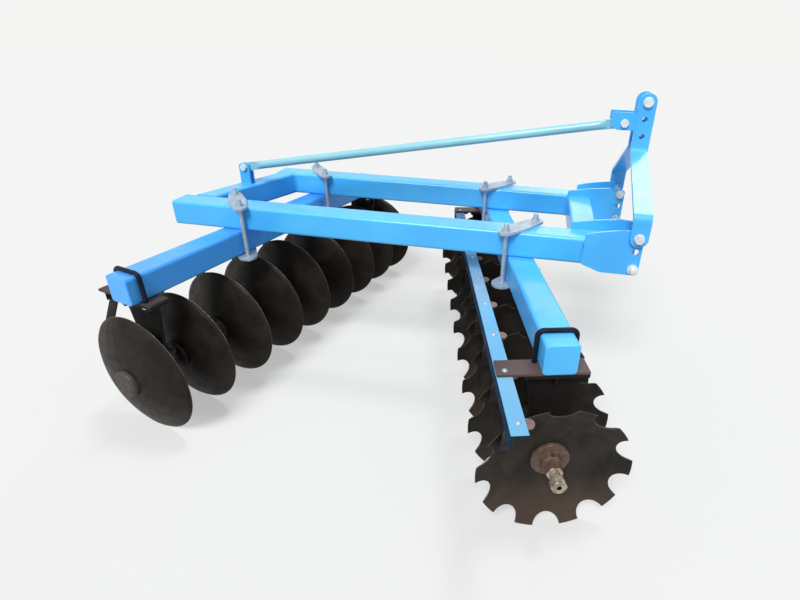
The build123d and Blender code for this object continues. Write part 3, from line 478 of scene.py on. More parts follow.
def solids(node: str, place: Matrix = Matrix()) -> list[Block]:
    """Find the boxes of a node's separate solids.

    Args:
        node: The node's name.
        place: The directions the boxes are measured in.

    Returns:
        The boxes, from low X to high.
    """
    shape = bmesh.new()
    shape.from_mesh(frame["nodes"][node].data)
    bmesh.ops.remove_doubles(shape, verts=shape.verts, dist=2e-6)
    back = place.inverted()
    left = set(shape.verts)
    blocks = []
    while left:
        found = [left.pop()]
        for corner in found:
            for edge in corner.link_edges:
                other = edge.other_vert(corner)
                if other in left:
                    left.remove(other)
                    found.append(other)
        points = [back @ corner.co for corner in found]
        low, high = (Vector([pick(point[k] for point in points) for k in range(3)]) for pick in (min, max))
        blocks.append(Block(low, high))
    shape.free()
    return sorted(blocks, key=lambda block: tuple(block.middle))


@dataclass(frozen=True)
class Gang:
    """A gang's name, its own directions, and +1 or -1 where its discs are hollow to its right or left.

    The shaft's tip with its two nuts stands out of the hollow end.
    """

    name: str
    place: Matrix
    hollow: int

    @property
    def body(self) -> str:
        """The turning body's name."""
        return f"{self.name}_gang"

    def solids(self, node: str) -> list[Block]:
        """The boxes of a node's solids in the gang's own directions."""
        return solids(node, self.place)

    def outer(self, block: Block) -> float:
        """Where a solid ends along the shaft, on the side of the shaft's tip."""
        return block.high.x if self.hollow > 0 else block.low.x

    def inner(self, block: Block) -> float:
        """Where a solid ends along the shaft, on the side away from its tip."""
        return block.low.x if self.hollow > 0 else block.high.x

    def end_fittings(self) -> tuple[Block, Block]:
        """The lock nut at the shaft's tip, and the end washer with its collar and nut."""
        lock_nut, washer, _ = self.solids(f"end_fittings_{self.name}")[::-self.hollow]
        return lock_nut, washer


def find_gangs() -> list[Gang]:
    """Read both gangs' places from the record's joints.

    Returns:
        The front gang, then the rear one.
    """
    gangs = []
    for joint in frame["joints"]:
        name = joint["child"].split("_")[0]
        turn = Matrix.Rotation(math.atan2(joint["axis"][1], joint["axis"][0]), 4, "Z")
        place = Matrix.Translation(joint["pos_m"]) @ turn
        lock_nut = min(solids(f"end_fittings_{name}", place), key=lambda block: block.high.y)
        gangs.append(Gang(name, place, 1 if lock_nut.middle.x > 0 else -1))
    return gangs


# ---------------------------------------------------------------- the bench


ALONG_X = Matrix.Rotation(math.radians(90), 4, "Y")
DOWN = Matrix.Rotation(math.radians(180), 4, "X")
CORNER = 1.5 / math.sqrt(3)  # radius to a bolt's hexagon corners, in its diameters
HEAD = 0.6  # height of its head, in its diameters
NUT = 0.8  # height of its nut, in its diameters


def deselect() -> None:
    """Leave nothing selected."""
    bpy.ops.object.select_all(action="DESELECT")


def turn(degrees: float, axis: str) -> None:
    """Turn what is chosen about an axis through the origin."""
    bpy.ops.transform.rotate(value=math.radians(degrees), orient_axis=axis, center_override=(0.0, 0.0, 0.0))


class Piece:
    """One piece on the bench: a primitive shaped in edit mode, given modifiers and set out in copies."""

    def __init__(self, name: str, add: Callable[..., object], **settings: object) -> None:
        """Add a primitive.

        Args:
            name: The piece's name.
            add: The operator that adds it.
            settings: Its sizes and place.
        """
        deselect()
        add(**settings)
        self.object = bpy.context.object
        self.object.name = name
        self.object.data.name = name

    @classmethod
    def rod(cls, name: str, radius: float, low: float, high: float, sides: int) -> "Piece":
        """Start from an upright cylinder or prism on the Z axis, with the radius to its corners."""
        size = {"vertices": sides, "radius": radius, "depth": high - low}
        return cls(name, bpy.ops.mesh.primitive_cylinder_add, location=(0.0, 0.0, (low + high) / 2), **size)

    @classmethod
    def outline(cls, name: str, radius: float, sides: int) -> "Piece":
        """Start from a flat filled polygon round the Z axis."""
        return cls(name, bpy.ops.mesh.primitive_circle_add, vertices=sides, radius=radius, fill_type="NGON")

    def activate(self) -> None:
        """Make this the only selected object."""
        deselect()
        self.object.select_set(True)
        bpy.context.view_layer.objects.active = self.object

    @contextmanager
    def editing(self, kind: str, elements: Iterable[Element], test: Callable[..., bool]) -> Iterator[None]:
        """Edit the mesh with some of it chosen, then go back to object mode.

        Args:
            kind: EDGE or FACE.
            elements: The edges or faces to choose from.
            test: Tells whether one of them is chosen.

        Yields:
            Nothing, while edit mode is on.
        """
        mesh = self.object.data
        for group in (mesh.vertices, mesh.edges, mesh.polygons):
            group.foreach_set("select", [False] * len(group))
        for element in elements:
            element.select = test(element)
        self.activate()
        bpy.context.tool_settings.mesh_select_mode = (False, kind == "EDGE", kind == "FACE")
        bpy.ops.object.mode_set(mode="EDIT")
        yield
        bpy.ops.object.mode_set(mode="OBJECT")

    def faces(self, test: Callable[[Vector], bool]) -> Editing:
        """Edit with the faces chosen whose normal passes a test."""
        return self.editing("FACE", self.object.data.polygons, lambda face: test(face.normal))

    def edges(self, test: Callable[[Vector, Vector], bool]) -> Editing:
        """Edit with the edges chosen whose two ends pass a test."""
        edges, corners = self.object.data.edges, self.object.data.vertices
        return self.editing("EDGE", edges, lambda edge: test(*(corners[k].co for k in edge.vertices)))

    def everything(self) -> Editing:
        """Edit with the whole mesh chosen."""
        return self.faces(lambda out: True)

    def top(self) -> Editing:
        """Edit with the faces chosen that look up."""
        return self.faces(lambda out: out.z > 0.9)

    def bottom(self) -> Editing:
        """Edit with the faces chosen that look down."""
        return self.faces(lambda out: out.z < -0.9)

    def ends(self) -> Editing:
        """Edit with the faces chosen that look up or down."""
        return self.faces(lambda out: abs(out.z) > 0.9)

    def close(self, fill: Callable[[], object]) -> None:
        """Close the open ends and point the faces outwards.

        Args:
            fill: Makes faces from the chosen rims.
        """
        with self.edges(lambda start, end: False):
            bpy.ops.mesh.select_non_manifold()
            fill()
            bpy.ops.mesh.select_all(action="SELECT")
            bpy.ops.mesh.normals_make_consistent(inside=False)

    def move(self, x: float, y: float, z: float) -> None:
        """Shift what is chosen."""
        bpy.ops.transform.translate(value=(x, y, z))

    def pull(self, *stages: tuple[float, float]) -> None:
        """Extrude what is chosen upwards, in one or more stages.

        Args:
            stages: How far each stage goes, and the scale of its new end about the Z axis.
        """
        for height, scale in stages:
            bpy.ops.mesh.extrude_region_move(TRANSFORM_OT_translate={"value": (0.0, 0.0, height)})
            if scale != 1.0:
                bpy.ops.transform.resize(value=(scale, scale, 1.0), center_override=(0.0, 0.0, 0.0))

    def modify(self, kind: str, **settings: object) -> None:
        """Add a modifier and apply it.

        Args:
            kind: The modifier's type.
            settings: Properties to set on it.
        """
        self.activate()
        modifier = self.object.modifiers.new(kind.title(), kind)
        for key, value in settings.items():
            setattr(modifier, key, value)
        bpy.ops.object.modifier_apply(modifier=modifier.name)

    def common_with(self, other: "Piece") -> None:
        """Keep only what lies inside another piece, and drop that one."""
        self.modify("BOOLEAN", operation="INTERSECT", solver="EXACT", object=other.object)
        bpy.data.objects.remove(other.object)

    def add(self, *others: bpy.types.Object) -> "Piece":
        """Join other objects to this one, where there are any.

        Args:
            others: The objects.

        Returns:
            This piece.
        """
        self.activate()
        for other in others:
            other.select_set(True)
        if others:
            bpy.ops.object.join()
        return self

    def set_out(self, places: Iterable[Matrix]) -> "Piece":
        """Put a copy at each place and join the copies into one piece.

        Args:
            places: Where the copies go.

        Returns:
            The joined piece.
        """
        model, name = self.object, self.object.name
        copies = []
        for place in places:
            copy = model.copy()
            copy.data = model.data.copy()
            copy.data.transform(place)
            bpy.context.scene.collection.objects.link(copy)
            copies.append(copy)
        bpy.data.objects.remove(model)
        self.object, *others = copies
        self.object.name = name
        return self.add(*others)


def joined(pieces: Iterable[Piece]) -> Piece:
    """Join pieces into the first one."""
    first, *others = pieces
    return first.add(*(other.object for other in others))


@dataclass(frozen=True)
class Thread:
    """A bolt's thread: a ridge wound round a rod."""

    radius: float
    length: float
    pitch: float = 0.0025
    wide: float = 0.55
    proud: float = 0.28

    def model(self, name: str) -> Piece:
        """Wind the ridge up the Z axis from the origin.

        Args:
            name: The piece's name.

        Returns:
            The thread.
        """
        ridge = Piece.outline(name, self.wide * self.pitch, 3)
        with ridge.everything():
            turn(-90, "Z")
            turn(90, "X")
        crest = max(corner.co.x for corner in ridge.object.data.vertices)
        with ridge.everything():
            ridge.move(self.radius + self.proud * self.pitch - crest, 0.0, self.pitch / 2)
            bpy.ops.mesh.delete(type="ONLY_FACE")
        turns = max(1, round(self.length / self.pitch) - 1)
        winding = {"axis": "Z", "angle": math.tau, "screw_offset": self.pitch, "iterations": turns}
        ridge.modify("SCREW", **winding, steps=20, render_steps=20)
        ridge.close(bpy.ops.mesh.edge_face_add)
        return ridge


@dataclass(frozen=True)
class Bolt:
    """One size of bolt and its washers, with heads, nuts and washers that stand on the origin.

    A washer's bore and rim are radii in hexagon corners, and end is how far the bolt stands out of its nut.
    """

    diameter: float
    end: float = 0.0
    washer: float = 0.003
    bore: float = 0.52 / CORNER
    rim: float = 1.24

    @property
    def corner(self) -> float:
        """From the centre to a corner of the hexagon."""
        return CORNER * self.diameter

    def hexagon(self, name: str, height: float) -> Piece:
        """A hexagon with its upper corners turned off.

        Args:
            name: The piece's name.
            height: The hexagon's height.

        Returns:
            The head or nut.
        """
        head = Piece.rod(name, self.corner, 0.0, height, 6)
        turned = Piece.rod("turned", 1.02 * self.corner, -height, 0.78 * height, 36)
        with turned.top():
            turned.pull((0.225 * height, 0.86))
        head.common_with(turned)
        return head

    def nut(self, name: str) -> Piece:
        """A nut with the bolt's end above it.

        Args:
            name: The piece's name.

        Returns:
            The nut and the bolt's end.
        """
        height, core, point = NUT * self.diameter, 0.46 * self.diameter, 0.001
        nut = self.hexagon(name, height)
        end = Piece.rod("end", core, 0.5 * height, height + self.end - point, 20)
        with end.top():
            end.pull((point, 0.82))
        winding = Thread(core, self.end - point, 0.14 * self.diameter).model("winding")
        return joined((nut, end, winding.set_out([rise(height)])))

    def flat_washer(self, name: str) -> Piece:
        """A flat washer.

        Args:
            name: The piece's name.

        Returns:
            The washer.
        """
        outer = self.rim * self.corner
        near_rim = 0.99 * outer * math.cos(math.pi / 36)
        washer = Piece.rod(name, outer, 0.0, self.washer, 36)
        with washer.ends():
            bpy.ops.mesh.inset(thickness=outer - self.bore * self.corner)
            bpy.ops.mesh.bridge_edge_loops()
        with washer.edges(lambda a, b: min(a.xy.length, b.xy.length) > near_rim and abs(a.z - b.z) < 1e-6):
            bpy.ops.mesh.bevel(offset=0.2 * self.washer, segments=1)
        return washer

    def dome(self, name: str) -> Piece:
        """A carriage bolt's low round head.

        Args:
            name: The piece's name.

        Returns:
            The head.
        """
        base, height = 0.86 * self.diameter, 0.4 * self.diameter
        radius = (base * base + height * height) / (2 * height)
        dome = Piece(name, bpy.ops.mesh.primitive_uv_sphere_add, segments=28, ring_count=14, radius=radius)
        with dome.everything():
            dome.move(0.0, 0.0, height - radius)
            bpy.ops.mesh.bisect(plane_co=(0, 0, 0), plane_no=(0, 0, 1), clear_inner=True, use_fill=True)
        with dome.bottom():
            dome.pull((-0.001, 1.0))
        return dome


@dataclass(frozen=True)
class WeldBead:
    """A rippled bead of weld metal."""

    radius: float
    ripple: float = 0.0026

    def along(self, start: Vector, end: Vector) -> Piece:
        """Lay a bead from one place to another.

        Args:
            start: Where it starts.
            end: Where it ends.

        Returns:
            The bead.
        """
        run = end - start
        bead = Piece.outline("bead", self.radius, 8)
        with bead.everything():
            bead.pull((0.4 * self.ripple, 1.16), (0.35 * self.ripple, 1.0), (0.25 * self.ripple, 0.862))
        with bead.ends():
            bpy.ops.mesh.delete(type="FACE")
        count = max(2, round(run.length / self.ripple))
        step = {"use_constant_offset": True, "constant_offset_displace": (0.0, 0.0, self.ripple)}
        merge = {"use_merge_vertices": True, "merge_threshold": 0.0002}
        bead.modify("ARRAY", count=count, use_relative_offset=False, **step, **merge)
        bead.close(lambda: bpy.ops.mesh.fill_holes(sides=0))
        return bead.set_out([Matrix.Translation(start) @ run.to_track_quat("Z", "X").to_matrix().to_4x4()])

    def run(self, name: str, lines: Iterable[Line]) -> Piece:
        """Lay a bead along each line and join them.

        Args:
            name: The piece's name.
            lines: The start and end of each bead.

        Returns:
            All of the beads.
        """
        beads = joined([self.along(Vector(start), Vector(end)) for start, end in lines])
        beads.object.name = name
        return beads


@dataclass(frozen=True)
class LinchPin:
    """An upright linch pin with its spring ring, about a hitch pin that lies along X through the origin."""

    reach: float
    radius: float = 0.004
    wire: float = 0.0014

    def model(self, name: str) -> Piece:
        """Make the linch pin.

        Args:
            name: The piece's name.

        Returns:
            The pin and its ring.
        """
        pin = Piece.rod(name, self.radius, -self.reach - 0.001, self.reach, 20)
        with pin.bottom():
            pin.pull((-0.004, 0.55))
        with pin.top():
            pin.pull((0.001, 1.7), (0.008, 1.0), (0.0015, 0.75))
        size = {"major_radius": self.reach + 0.003, "minor_radius": self.wire}
        steps = {"major_segments": 36, "minor_segments": 10}
        spring = Piece("spring", bpy.ops.mesh.primitive_torus_add, **size, **steps)
        with spring.everything():
            turn(90, "Y")
            spring.move(0.0012, 0.0, 0.002)
        return joined((pin, spring))


# ---------------------------------------------------------------- finishes for each slot


class Slot(Enum):
    """The record's material slots."""

    FRAME_BLUE = "frame_blue"
    BAR_BLUE = "bar_blue"
    ZINC = "zinc"
    BRACKET_BROWN = "bracket_brown"
    DARK_STEEL = "dark_steel"
    DISC_STEEL = "disc_steel"
    CAST_IRON = "cast_iron"
    SHAFT_STEEL = "shaft_steel"
    BLACK_PAINT = "black_paint"


FRAME_BLUE = Enamel(
    "frame_blue", (0.062, 0.46, 0.97), (0.085, 0.56, 1.0),
    # Painted shade: below the main beams and behind the hitch the blue is deeper, and darker still on the tops.
    below=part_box("main_beam_right")[0].z, painted_shade_behind=(0.052, 0.41, 1.0), painted_shade_behind_top=(0.024, 0.205, 0.78),
)
PALE_BLUE = Enamel("pale_blue", (0.25, 0.56, 0.65), (0.31, 0.64, 0.71))
BAR_BLUE = Enamel(
    "bar_blue", (0.17, 0.44, 0.69), (0.26, 0.43, 0.6),
    # Painted shade: the bar's sides are dark navy.
    roughness=0.45, coat=0.0, shine=0.3, refraction=1.06, sides=(0.009, 0.034, 0.085),
)
BRACKET_BROWN = Enamel(
    "bracket_brown", (0.085, 0.056, 0.053), (0.125, 0.082, 0.075),
    dust=(0.2, 0.155, 0.135), dust_cover=0.2, wear=0.3, rubbed=(0.2, 0.14, 0.11),
    # Painted shade: behind the hitch the brown is darker.
    roughness=0.5, coat=0.0, shine=0.3, painted_shade_behind=(0.04, 0.026, 0.023),
)
BLACK_PAINT = Enamel(
    "black_paint", (0.008, 0.0068, 0.0062), (0.015, 0.0125, 0.011),
    dust=(0.06, 0.052, 0.046), dust_cover=0.15, wear=0.2, rubbed=(0.09, 0.075, 0.065),
    roughness=0.5, coat=0.0, shine=0.14,
)
ZINC = Metal("zinc", (0.43, 0.52, 0.61), (0.36, 0.43, 0.51), metallic=0.5, roughness=0.48)
BRIGHT_ZINC = Metal("bright_zinc", (0.8, 0.84, 0.87), (0.64, 0.68, 0.72), metallic=0.3, roughness=0.45)
DARK_STEEL = Metal(
    "dark_steel", (0.006, 0.008, 0.02), (0.012, 0.014, 0.027), metallic=0.0, roughness=0.42, shine=0.13,
)
CAST_IRON = Metal(
    "cast_iron", (0.016, 0.013, 0.0115), (0.034, 0.026, 0.022),
    metallic=0.1, roughness=0.6, grain=120.0, relief=0.0006, shine=0.25,
)


class Wardrobe:
    """One material for each slot, with its own for each gang where the pattern follows the shaft."""

    def __init__(self, gangs: list[Gang]) -> None:
        """Make every material.

        Args:
            gangs: The two gangs.
        """
        plain = (FRAME_BLUE, BAR_BLUE, BRACKET_BROWN, BLACK_PAINT, ZINC, DARK_STEEL, CAST_IRON)
        self.materials = {Slot(finish.name): finish.build() for finish in plain}
        bright_zinc = BRIGHT_ZINC.build()
        self.special = {"mast_stay": PALE_BLUE.build(), "hitch_pins": bright_zinc, "mast_bolts": bright_zinc}
        self.turned: dict[tuple[Slot, str], bpy.types.Material] = {}
        for gang in gangs:
            bright_from = gang.hollow * gang.outer(gang.end_fittings()[1]) - 0.001
            tab_from = gang.solids(f"scraper_bar_{gang.name}")[0].high.y
            # The ground rims are painted lighter also as a highlight along them.
            discs = DiscSteel(f"disc_steel_{gang.name}", gang.place, ground=(0.25, 0.22, 0.18))
            shaft = ShaftSteel(f"shaft_steel_{gang.name}", gang.place, bright_from, gang.hollow)
            if gang.name == "rear":
                # Painted shade: the rear gang's discs are darker.
                darker = {"scale": (0.0105, 0.008, 0.0063), "lighter": (0.023, 0.017, 0.013)}
                # The rear gang's ground rims are painted lighter still as a highlight, and its discs carry less
                # dry soil and painted floor reflection.
                discs = replace(discs, ground=(0.42, 0.38, 0.32), soil_and_reflection=0.16, **darker)
                shaft = replace(shaft, rusty=(0.042, 0.031, 0.024), burnt=(0.07, 0.05, 0.038))
            paint = ScraperPaint(f"scraper_paint_{gang.name}", gang.place, tab_from)
            self.turned[Slot.DISC_STEEL, gang.name] = discs.build()
            self.turned[Slot.SHAFT_STEEL, gang.name] = shaft.build()
            self.turned[Slot.BLACK_PAINT, gang.name] = paint.build()

    def finish(self, slot: Slot, node: str) -> bpy.types.Material:
        """Find the material of a slot on a piece.

        Args:
            slot: The slot.
            node: The node's or body's name, whose gang decides between two of one slot.

        Returns:
            The material.
        """
        for (turned, gang), material in self.turned.items():
            if turned is slot and gang in node.split("_"):
                return material
        return self.special.get(node) or self.materials[slot]

    def dress(self) -> None:
        """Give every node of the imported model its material."""
        for part in frame["record"]["subparts"]:
            node = frame["nodes"][part["node"]]
            node.data.materials.clear()
            node.data.materials.append(self.finish(Slot(part["material_slot"]), part["node"]))
        LOG.info("dressed %d nodes", len(frame["nodes"]))


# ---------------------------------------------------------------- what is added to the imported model


@dataclass
class Assembly:
    """Pieces that share the finishes."""

    wardrobe: Wardrobe

    def fit(
        self, piece: Piece, slot: Slot, places: Iterable[Matrix] = (), body: str = "frame",
        node: str = "", smooth: float = 35.0,
    ) -> None:
        """Set a piece out, dress it and let it ride.

        Args:
            piece: The piece.
            slot: The record's slot of its finish.
            places: Where its copies go, or nothing where it is in place already.
            body: The body that carries it.
            node: The node whose finish it shares, where that differs from the slot's.
            smooth: Steepest angle in degrees that is shaded smoothly.
        """
        if places:
            piece.set_out(places)
        mesh = piece.object.data
        mesh.materials.clear()
        mesh.materials.append(self.wardrobe.finish(slot, node or body))
        piece.activate()
        bpy.ops.object.shade_smooth_by_angle(angle=math.radians(smooth))
        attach(piece.object, body)
        LOG.info("%s: %d faces on %s", piece.object.name, len(mesh.polygons), body)


@dataclass
class ClampFittings(Assembly):
    """Washers and threads on the tie rods of the four beam clamps."""

    rod: Bolt = Bolt(0.02, bore=0.816)
    shortest_rod: float = 0.2
    above: float = 0.034
    below: float = 0.022

    def build(self) -> None:
        """Fit both ends of every tie rod."""
        rods = [block for block in solids("beam_clamps") if block.size.z > self.shortest_rod]
        tops = [shift(rod.middle.x, rod.middle.y, rod.high.z - self.above) for rod in rods]
        bottoms = [shift(rod.middle.x, rod.middle.y, rod.low.z + self.below) @ DOWN for rod in rods]
        self.fit(self.rod.flat_washer("clamp_washers"), Slot.ZINC, tops + bottoms)
        nut = NUT * self.rod.diameter
        threads = []
        for length, seats in ((self.above, tops), (self.below, bottoms)):
            thread = Thread(self.rod.diameter / 2, length - nut).model("clamp_threads")
            threads.append(thread.set_out([seat @ rise(nut) for seat in seats]))
        self.fit(joined(threads), Slot.ZINC)


@dataclass
class GangAssembly(Assembly):
    """Pieces on one gang or on what carries it."""

    gang: Gang

    def named(self, name: str) -> str:
        """A piece's name with its gang's."""
        return f"{name}_{self.gang.name}"

    def place(self, x: float, y: float, z: float) -> Matrix:
        """A place in the gang's own directions."""
        return self.gang.place @ shift(x, y, z)


@dataclass
class HangerFittings(GangAssembly):
    """The threads, washers, bolts, grease nipples and welds of a gang's U-bolts, housings and hangers."""

    near: float = 0.1
    u_bolt: Bolt = Bolt(0.018, bore=0.84)
    u_tail: float = 0.026
    u_thread: float = 0.011
    bolt: Bolt = Bolt(0.012, end=0.005, washer=0.0018, bore=0.8)
    head: float = 0.0075
    plate: float = 0.014
    pad_hole: tuple[float, float] = (0.0255, 0.057)
    ear_hole: tuple[float, float] = (0.017, 0.0765)
    ear: float = 0.013
    nipple: tuple[float, float] = (0.0625, 0.03)
    weld: WeldBead = WeldBead(0.004)
    weld_out: float = 0.0085
    foot_weld: float = 0.098
    seat_weld: float = 0.06
    proud: float = 0.001

    def own(self, node: str) -> list[Block]:
        """The solids of a shared node that belong to this gang."""
        blocks = self.gang.solids(node)
        return [block for block in blocks if max(abs(block.middle.y), block.size.x) < self.near]

    def u_bolts(self) -> None:
        """Wind the threads below the U-bolts' nuts and slip washers over the nuts."""
        ends, seats = [], []
        for block in self.own("hanger_u_bolts"):
            leg = block.high.y - 0.75 * self.u_bolt.diameter
            for v in (leg, -leg):
                ends.append(self.place(block.middle.x, v, block.low.z + self.u_thread) @ DOWN)
                seats.append(self.place(block.middle.x, v, block.low.z + self.u_tail) @ DOWN)
        thread = Thread(self.u_bolt.diameter / 2, self.u_thread).model(self.named("u_bolt_threads"))
        self.fit(thread, Slot.DARK_STEEL, ends)
        self.fit(self.u_bolt.flat_washer(self.named("u_bolt_washers")), Slot.ZINC, seats)

    def housing_bolts(self) -> None:
        """Bolt each housing's pad to its seat and its two halves together at their ears."""
        heads, nuts = [], []
        for block, u, v in product(self.own("bearing_housings"), (1, -1), (1, -1)):
            middle = block.middle.x
            pad = self.place(middle + u * self.pad_hole[0], v * self.pad_hole[1], block.high.z)
            ear = self.place(middle + u * self.ear_hole[0], v * self.ear_hole[1], 0.0)
            heads += [pad @ rise(self.plate), ear @ rise(self.ear)]
            nuts += [pad @ rise(-self.plate) @ DOWN, ear @ rise(-self.ear) @ DOWN]
        self.fit(self.bolt.hexagon(self.named("housing_bolt_heads"), self.head), Slot.CAST_IRON, heads)
        self.fit(self.bolt.nut(self.named("housing_nuts")), Slot.CAST_IRON, nuts)
        self.fit(self.bolt.flat_washer(self.named("housing_washers")), Slot.CAST_IRON, heads)

    def nipples(self) -> None:
        """Screw a grease nipple into the front of each housing."""
        nipple = Piece.rod(self.named("grease_nipples"), 0.0052, 0.0, 0.004, 6)
        with nipple.top():
            bpy.ops.mesh.inset(thickness=0.0012)
            nipple.pull((0.003, 0.8), (0.0012, 1.25), (0.0016, 1.0), (0.0012, 0.5))
        nipple.modify("BEVEL", width=0.0003, segments=1, limit_method="ANGLE")
        forwards = Matrix.Rotation(math.radians(-90), 4, "X")
        middles = [block.middle.x for block in self.own("bearing_housings")]
        self.fit(nipple, Slot.ZINC, [self.place(u, *self.nipple) @ forwards for u in middles])

    def welds(self) -> None:
        """Weld each standard to its foot and its seat."""
        lines = []
        for block, side in product(self.own("hangers"), (1, -1)):
            u = block.middle.x + side * self.weld_out
            foot = block.high.z - self.plate - self.proud
            seat = block.low.z + self.plate + self.proud
            for reach, z in ((self.foot_weld, foot), (self.seat_weld, seat)):
                lines.append(((u, -reach, z), (u, reach, z)))
        welds = self.weld.run(self.named("hanger_welds"), lines)
        self.fit(welds, Slot.BLACK_PAINT, [self.gang.place], smooth=60.0)

    def build(self) -> None:
        """Fit everything that hangs under this gang's beam."""
        self.u_bolts()
        self.housing_bolts()
        self.nipples()
        self.welds()


@dataclass
class ScraperFittings(GangAssembly):
    """The bolts that hold a gang's scrapers to their bar, and the bar to its arms."""

    bolt: Bolt = Bolt(0.012, end=0.008, washer=0.002)
    foot: float = 0.024
    blade: float = 0.046
    arm: float = 0.01
    half_arm: float = 0.04
    widest_arm: float = 0.1
    stack: float = 0.019

    def build(self) -> None:
        """Fit a round head on top of the bar and a washer and nut below each scraper."""
        bar = self.gang.solids(self.named("scraper_bar"))[0]
        blocks = self.gang.solids("scraper_arms")
        arms = [block.middle.x for block in blocks if block.size.x < self.widest_arm]
        room = 1.1 * self.bolt.diameter
        reach = self.half_arm - room
        heads, nuts = [], []
        for block in self.gang.solids(self.named("scrapers")):
            u = self.gang.outer(block) - self.gang.hollow * self.foot
            v, top = block.low.y + self.blade / 2, bar.high.z
            for arm in arms:
                if abs(arm - u) < self.half_arm + room:
                    u = max(arm - reach, min(arm + reach, u))
                    top += self.arm
            heads.append(self.place(u, v, top))
            nuts.append(self.place(u, v, bar.high.z - self.stack) @ DOWN)
        self.fit(self.bolt.dome(self.named("scraper_bolt_heads")), Slot.ZINC, heads, smooth=50.0)
        self.fit(self.bolt.flat_washer(self.named("scraper_washers")), Slot.ZINC, nuts)
        seats = [nut @ rise(self.bolt.washer) for nut in nuts]
        self.fit(self.bolt.nut(self.named("scraper_nuts")), Slot.ZINC, seats)


@dataclass
class ShaftFittings(GangAssembly):
    """The thread that shows between a shaft's nut and its lock nut, and the screw that locks its collar."""

    radius: float = 0.019
    bare: float = 0.029
    pitch: float = 0.003
    collar: float = 0.04
    collar_at: float = 0.029
    screw: float = 0.0055
    sunk: float = 0.004
    proud: float = 0.0012
    chamfer: float = 0.0004
    wall: float = 0.0016
    socket: float = 0.003

    def thread(self, lock_nut: Block) -> None:
        """Wind the thread on the shaft, up to its lock nut.

        Args:
            lock_nut: The lock nut.
        """
        start = self.gang.inner(lock_nut) - self.gang.hollow * self.bare
        outwards = Matrix.Rotation(math.radians(90 * self.gang.hollow), 4, "Y")
        thread = Thread(self.radius, self.bare, self.pitch).model(self.named("shaft_thread"))
        self.fit(thread, Slot.SHAFT_STEEL, [self.place(start, 0.0, 0.0) @ outwards], self.gang.body)

    def collar_screw(self, washer: Block) -> None:
        """Sink a round-socket screw into the end washer's collar.

        Args:
            washer: The end washer with its collar.
        """
        low, high = self.collar - self.sunk, self.collar + self.proud
        screw = Piece.rod(self.named("collar_screw"), self.screw, low, high, 24)
        with screw.top():
            bpy.ops.mesh.inset(thickness=self.chamfer)
            screw.pull((0.75 * self.chamfer, 1.0))
            bpy.ops.mesh.inset(thickness=self.wall)
            screw.pull((-self.socket, 1.0))
        place = self.place(self.gang.inner(washer) + self.gang.hollow * self.collar_at, 0.0, 0.0)
        self.fit(screw, Slot.DARK_STEEL, [place], self.gang.body)

    def build(self) -> None:
        """Fit the thread and the screw."""
        lock_nut, washer = self.gang.end_fittings()
        self.thread(lock_nut)
        self.collar_screw(washer)


@dataclass
class HitchFittings(Assembly):
    """Linch pins, and the washers and threads of the mast's and the stay's bolts."""

    mast_bolt: Bolt = Bolt(0.024, bore=0.84, rim=1.03)
    stay_bolt: Bolt = Bolt(0.02, bore=0.84, rim=1.03)
    shortest_bolt: float = 0.04
    shortest_mast_bolt: float = 0.15
    bare: float = 0.006
    linch_pin: LinchPin = LinchPin(0.021)
    inset: float = 0.008
    top_linch_pin: LinchPin = LinchPin(0.019)
    top_inset: float = 0.012
    top_over: float = 1.2

    def bolts(self) -> None:
        """Slip a washer over each head and nut and wind the thread at each bolt's end."""
        washers, threads = [], []
        for block in solids("mast_bolts"):
            if block.size.x < self.shortest_bolt:
                continue
            bolt = self.mast_bolt if block.size.x > self.shortest_mast_bolt else self.stay_bolt
            size, (y, z) = bolt.diameter, block.middle.yz
            head = shift(block.high.x - HEAD * size, y, z) @ ALONG_X
            end = shift(block.low.x + self.bare, y, z) @ ALONG_X @ DOWN
            nut = shift(block.low.x + self.bare + NUT * size, y, z) @ ALONG_X @ DOWN
            washers.append(bolt.flat_washer("mast_washers").set_out([head, nut]))
            threads.append(Thread(size / 2, self.bare).model("mast_bolt_threads").set_out([end]))
        for pieces in (washers, threads):
            self.fit(joined(pieces), Slot.ZINC, node="mast_bolts")

    def linch_pins(self) -> None:
        """Put a linch pin with its spring ring through the free end of each hitch pin."""
        low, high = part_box("front_cross_member")
        middle = (low.x + high.x) / 2
        lower, top = [], []
        for block in solids("hitch_pins"):
            y, z = block.middle.yz
            if z > self.top_over:
                top.append(shift(block.low.x + self.top_inset, y, z))
            elif block.middle.x > middle:
                lower.append(shift(block.low.x + self.inset, y, z))
            else:
                lower.append(shift(block.high.x - self.inset, y, z))
        self.fit(self.linch_pin.model("linch_pins"), Slot.ZINC, lower, node="hitch_pins")
        self.fit(self.top_linch_pin.model("top_linch_pin"), Slot.ZINC, top, node="hitch_pins")

    def build(self) -> None:
        """Fit the hitch."""
        self.bolts()
        self.linch_pins()


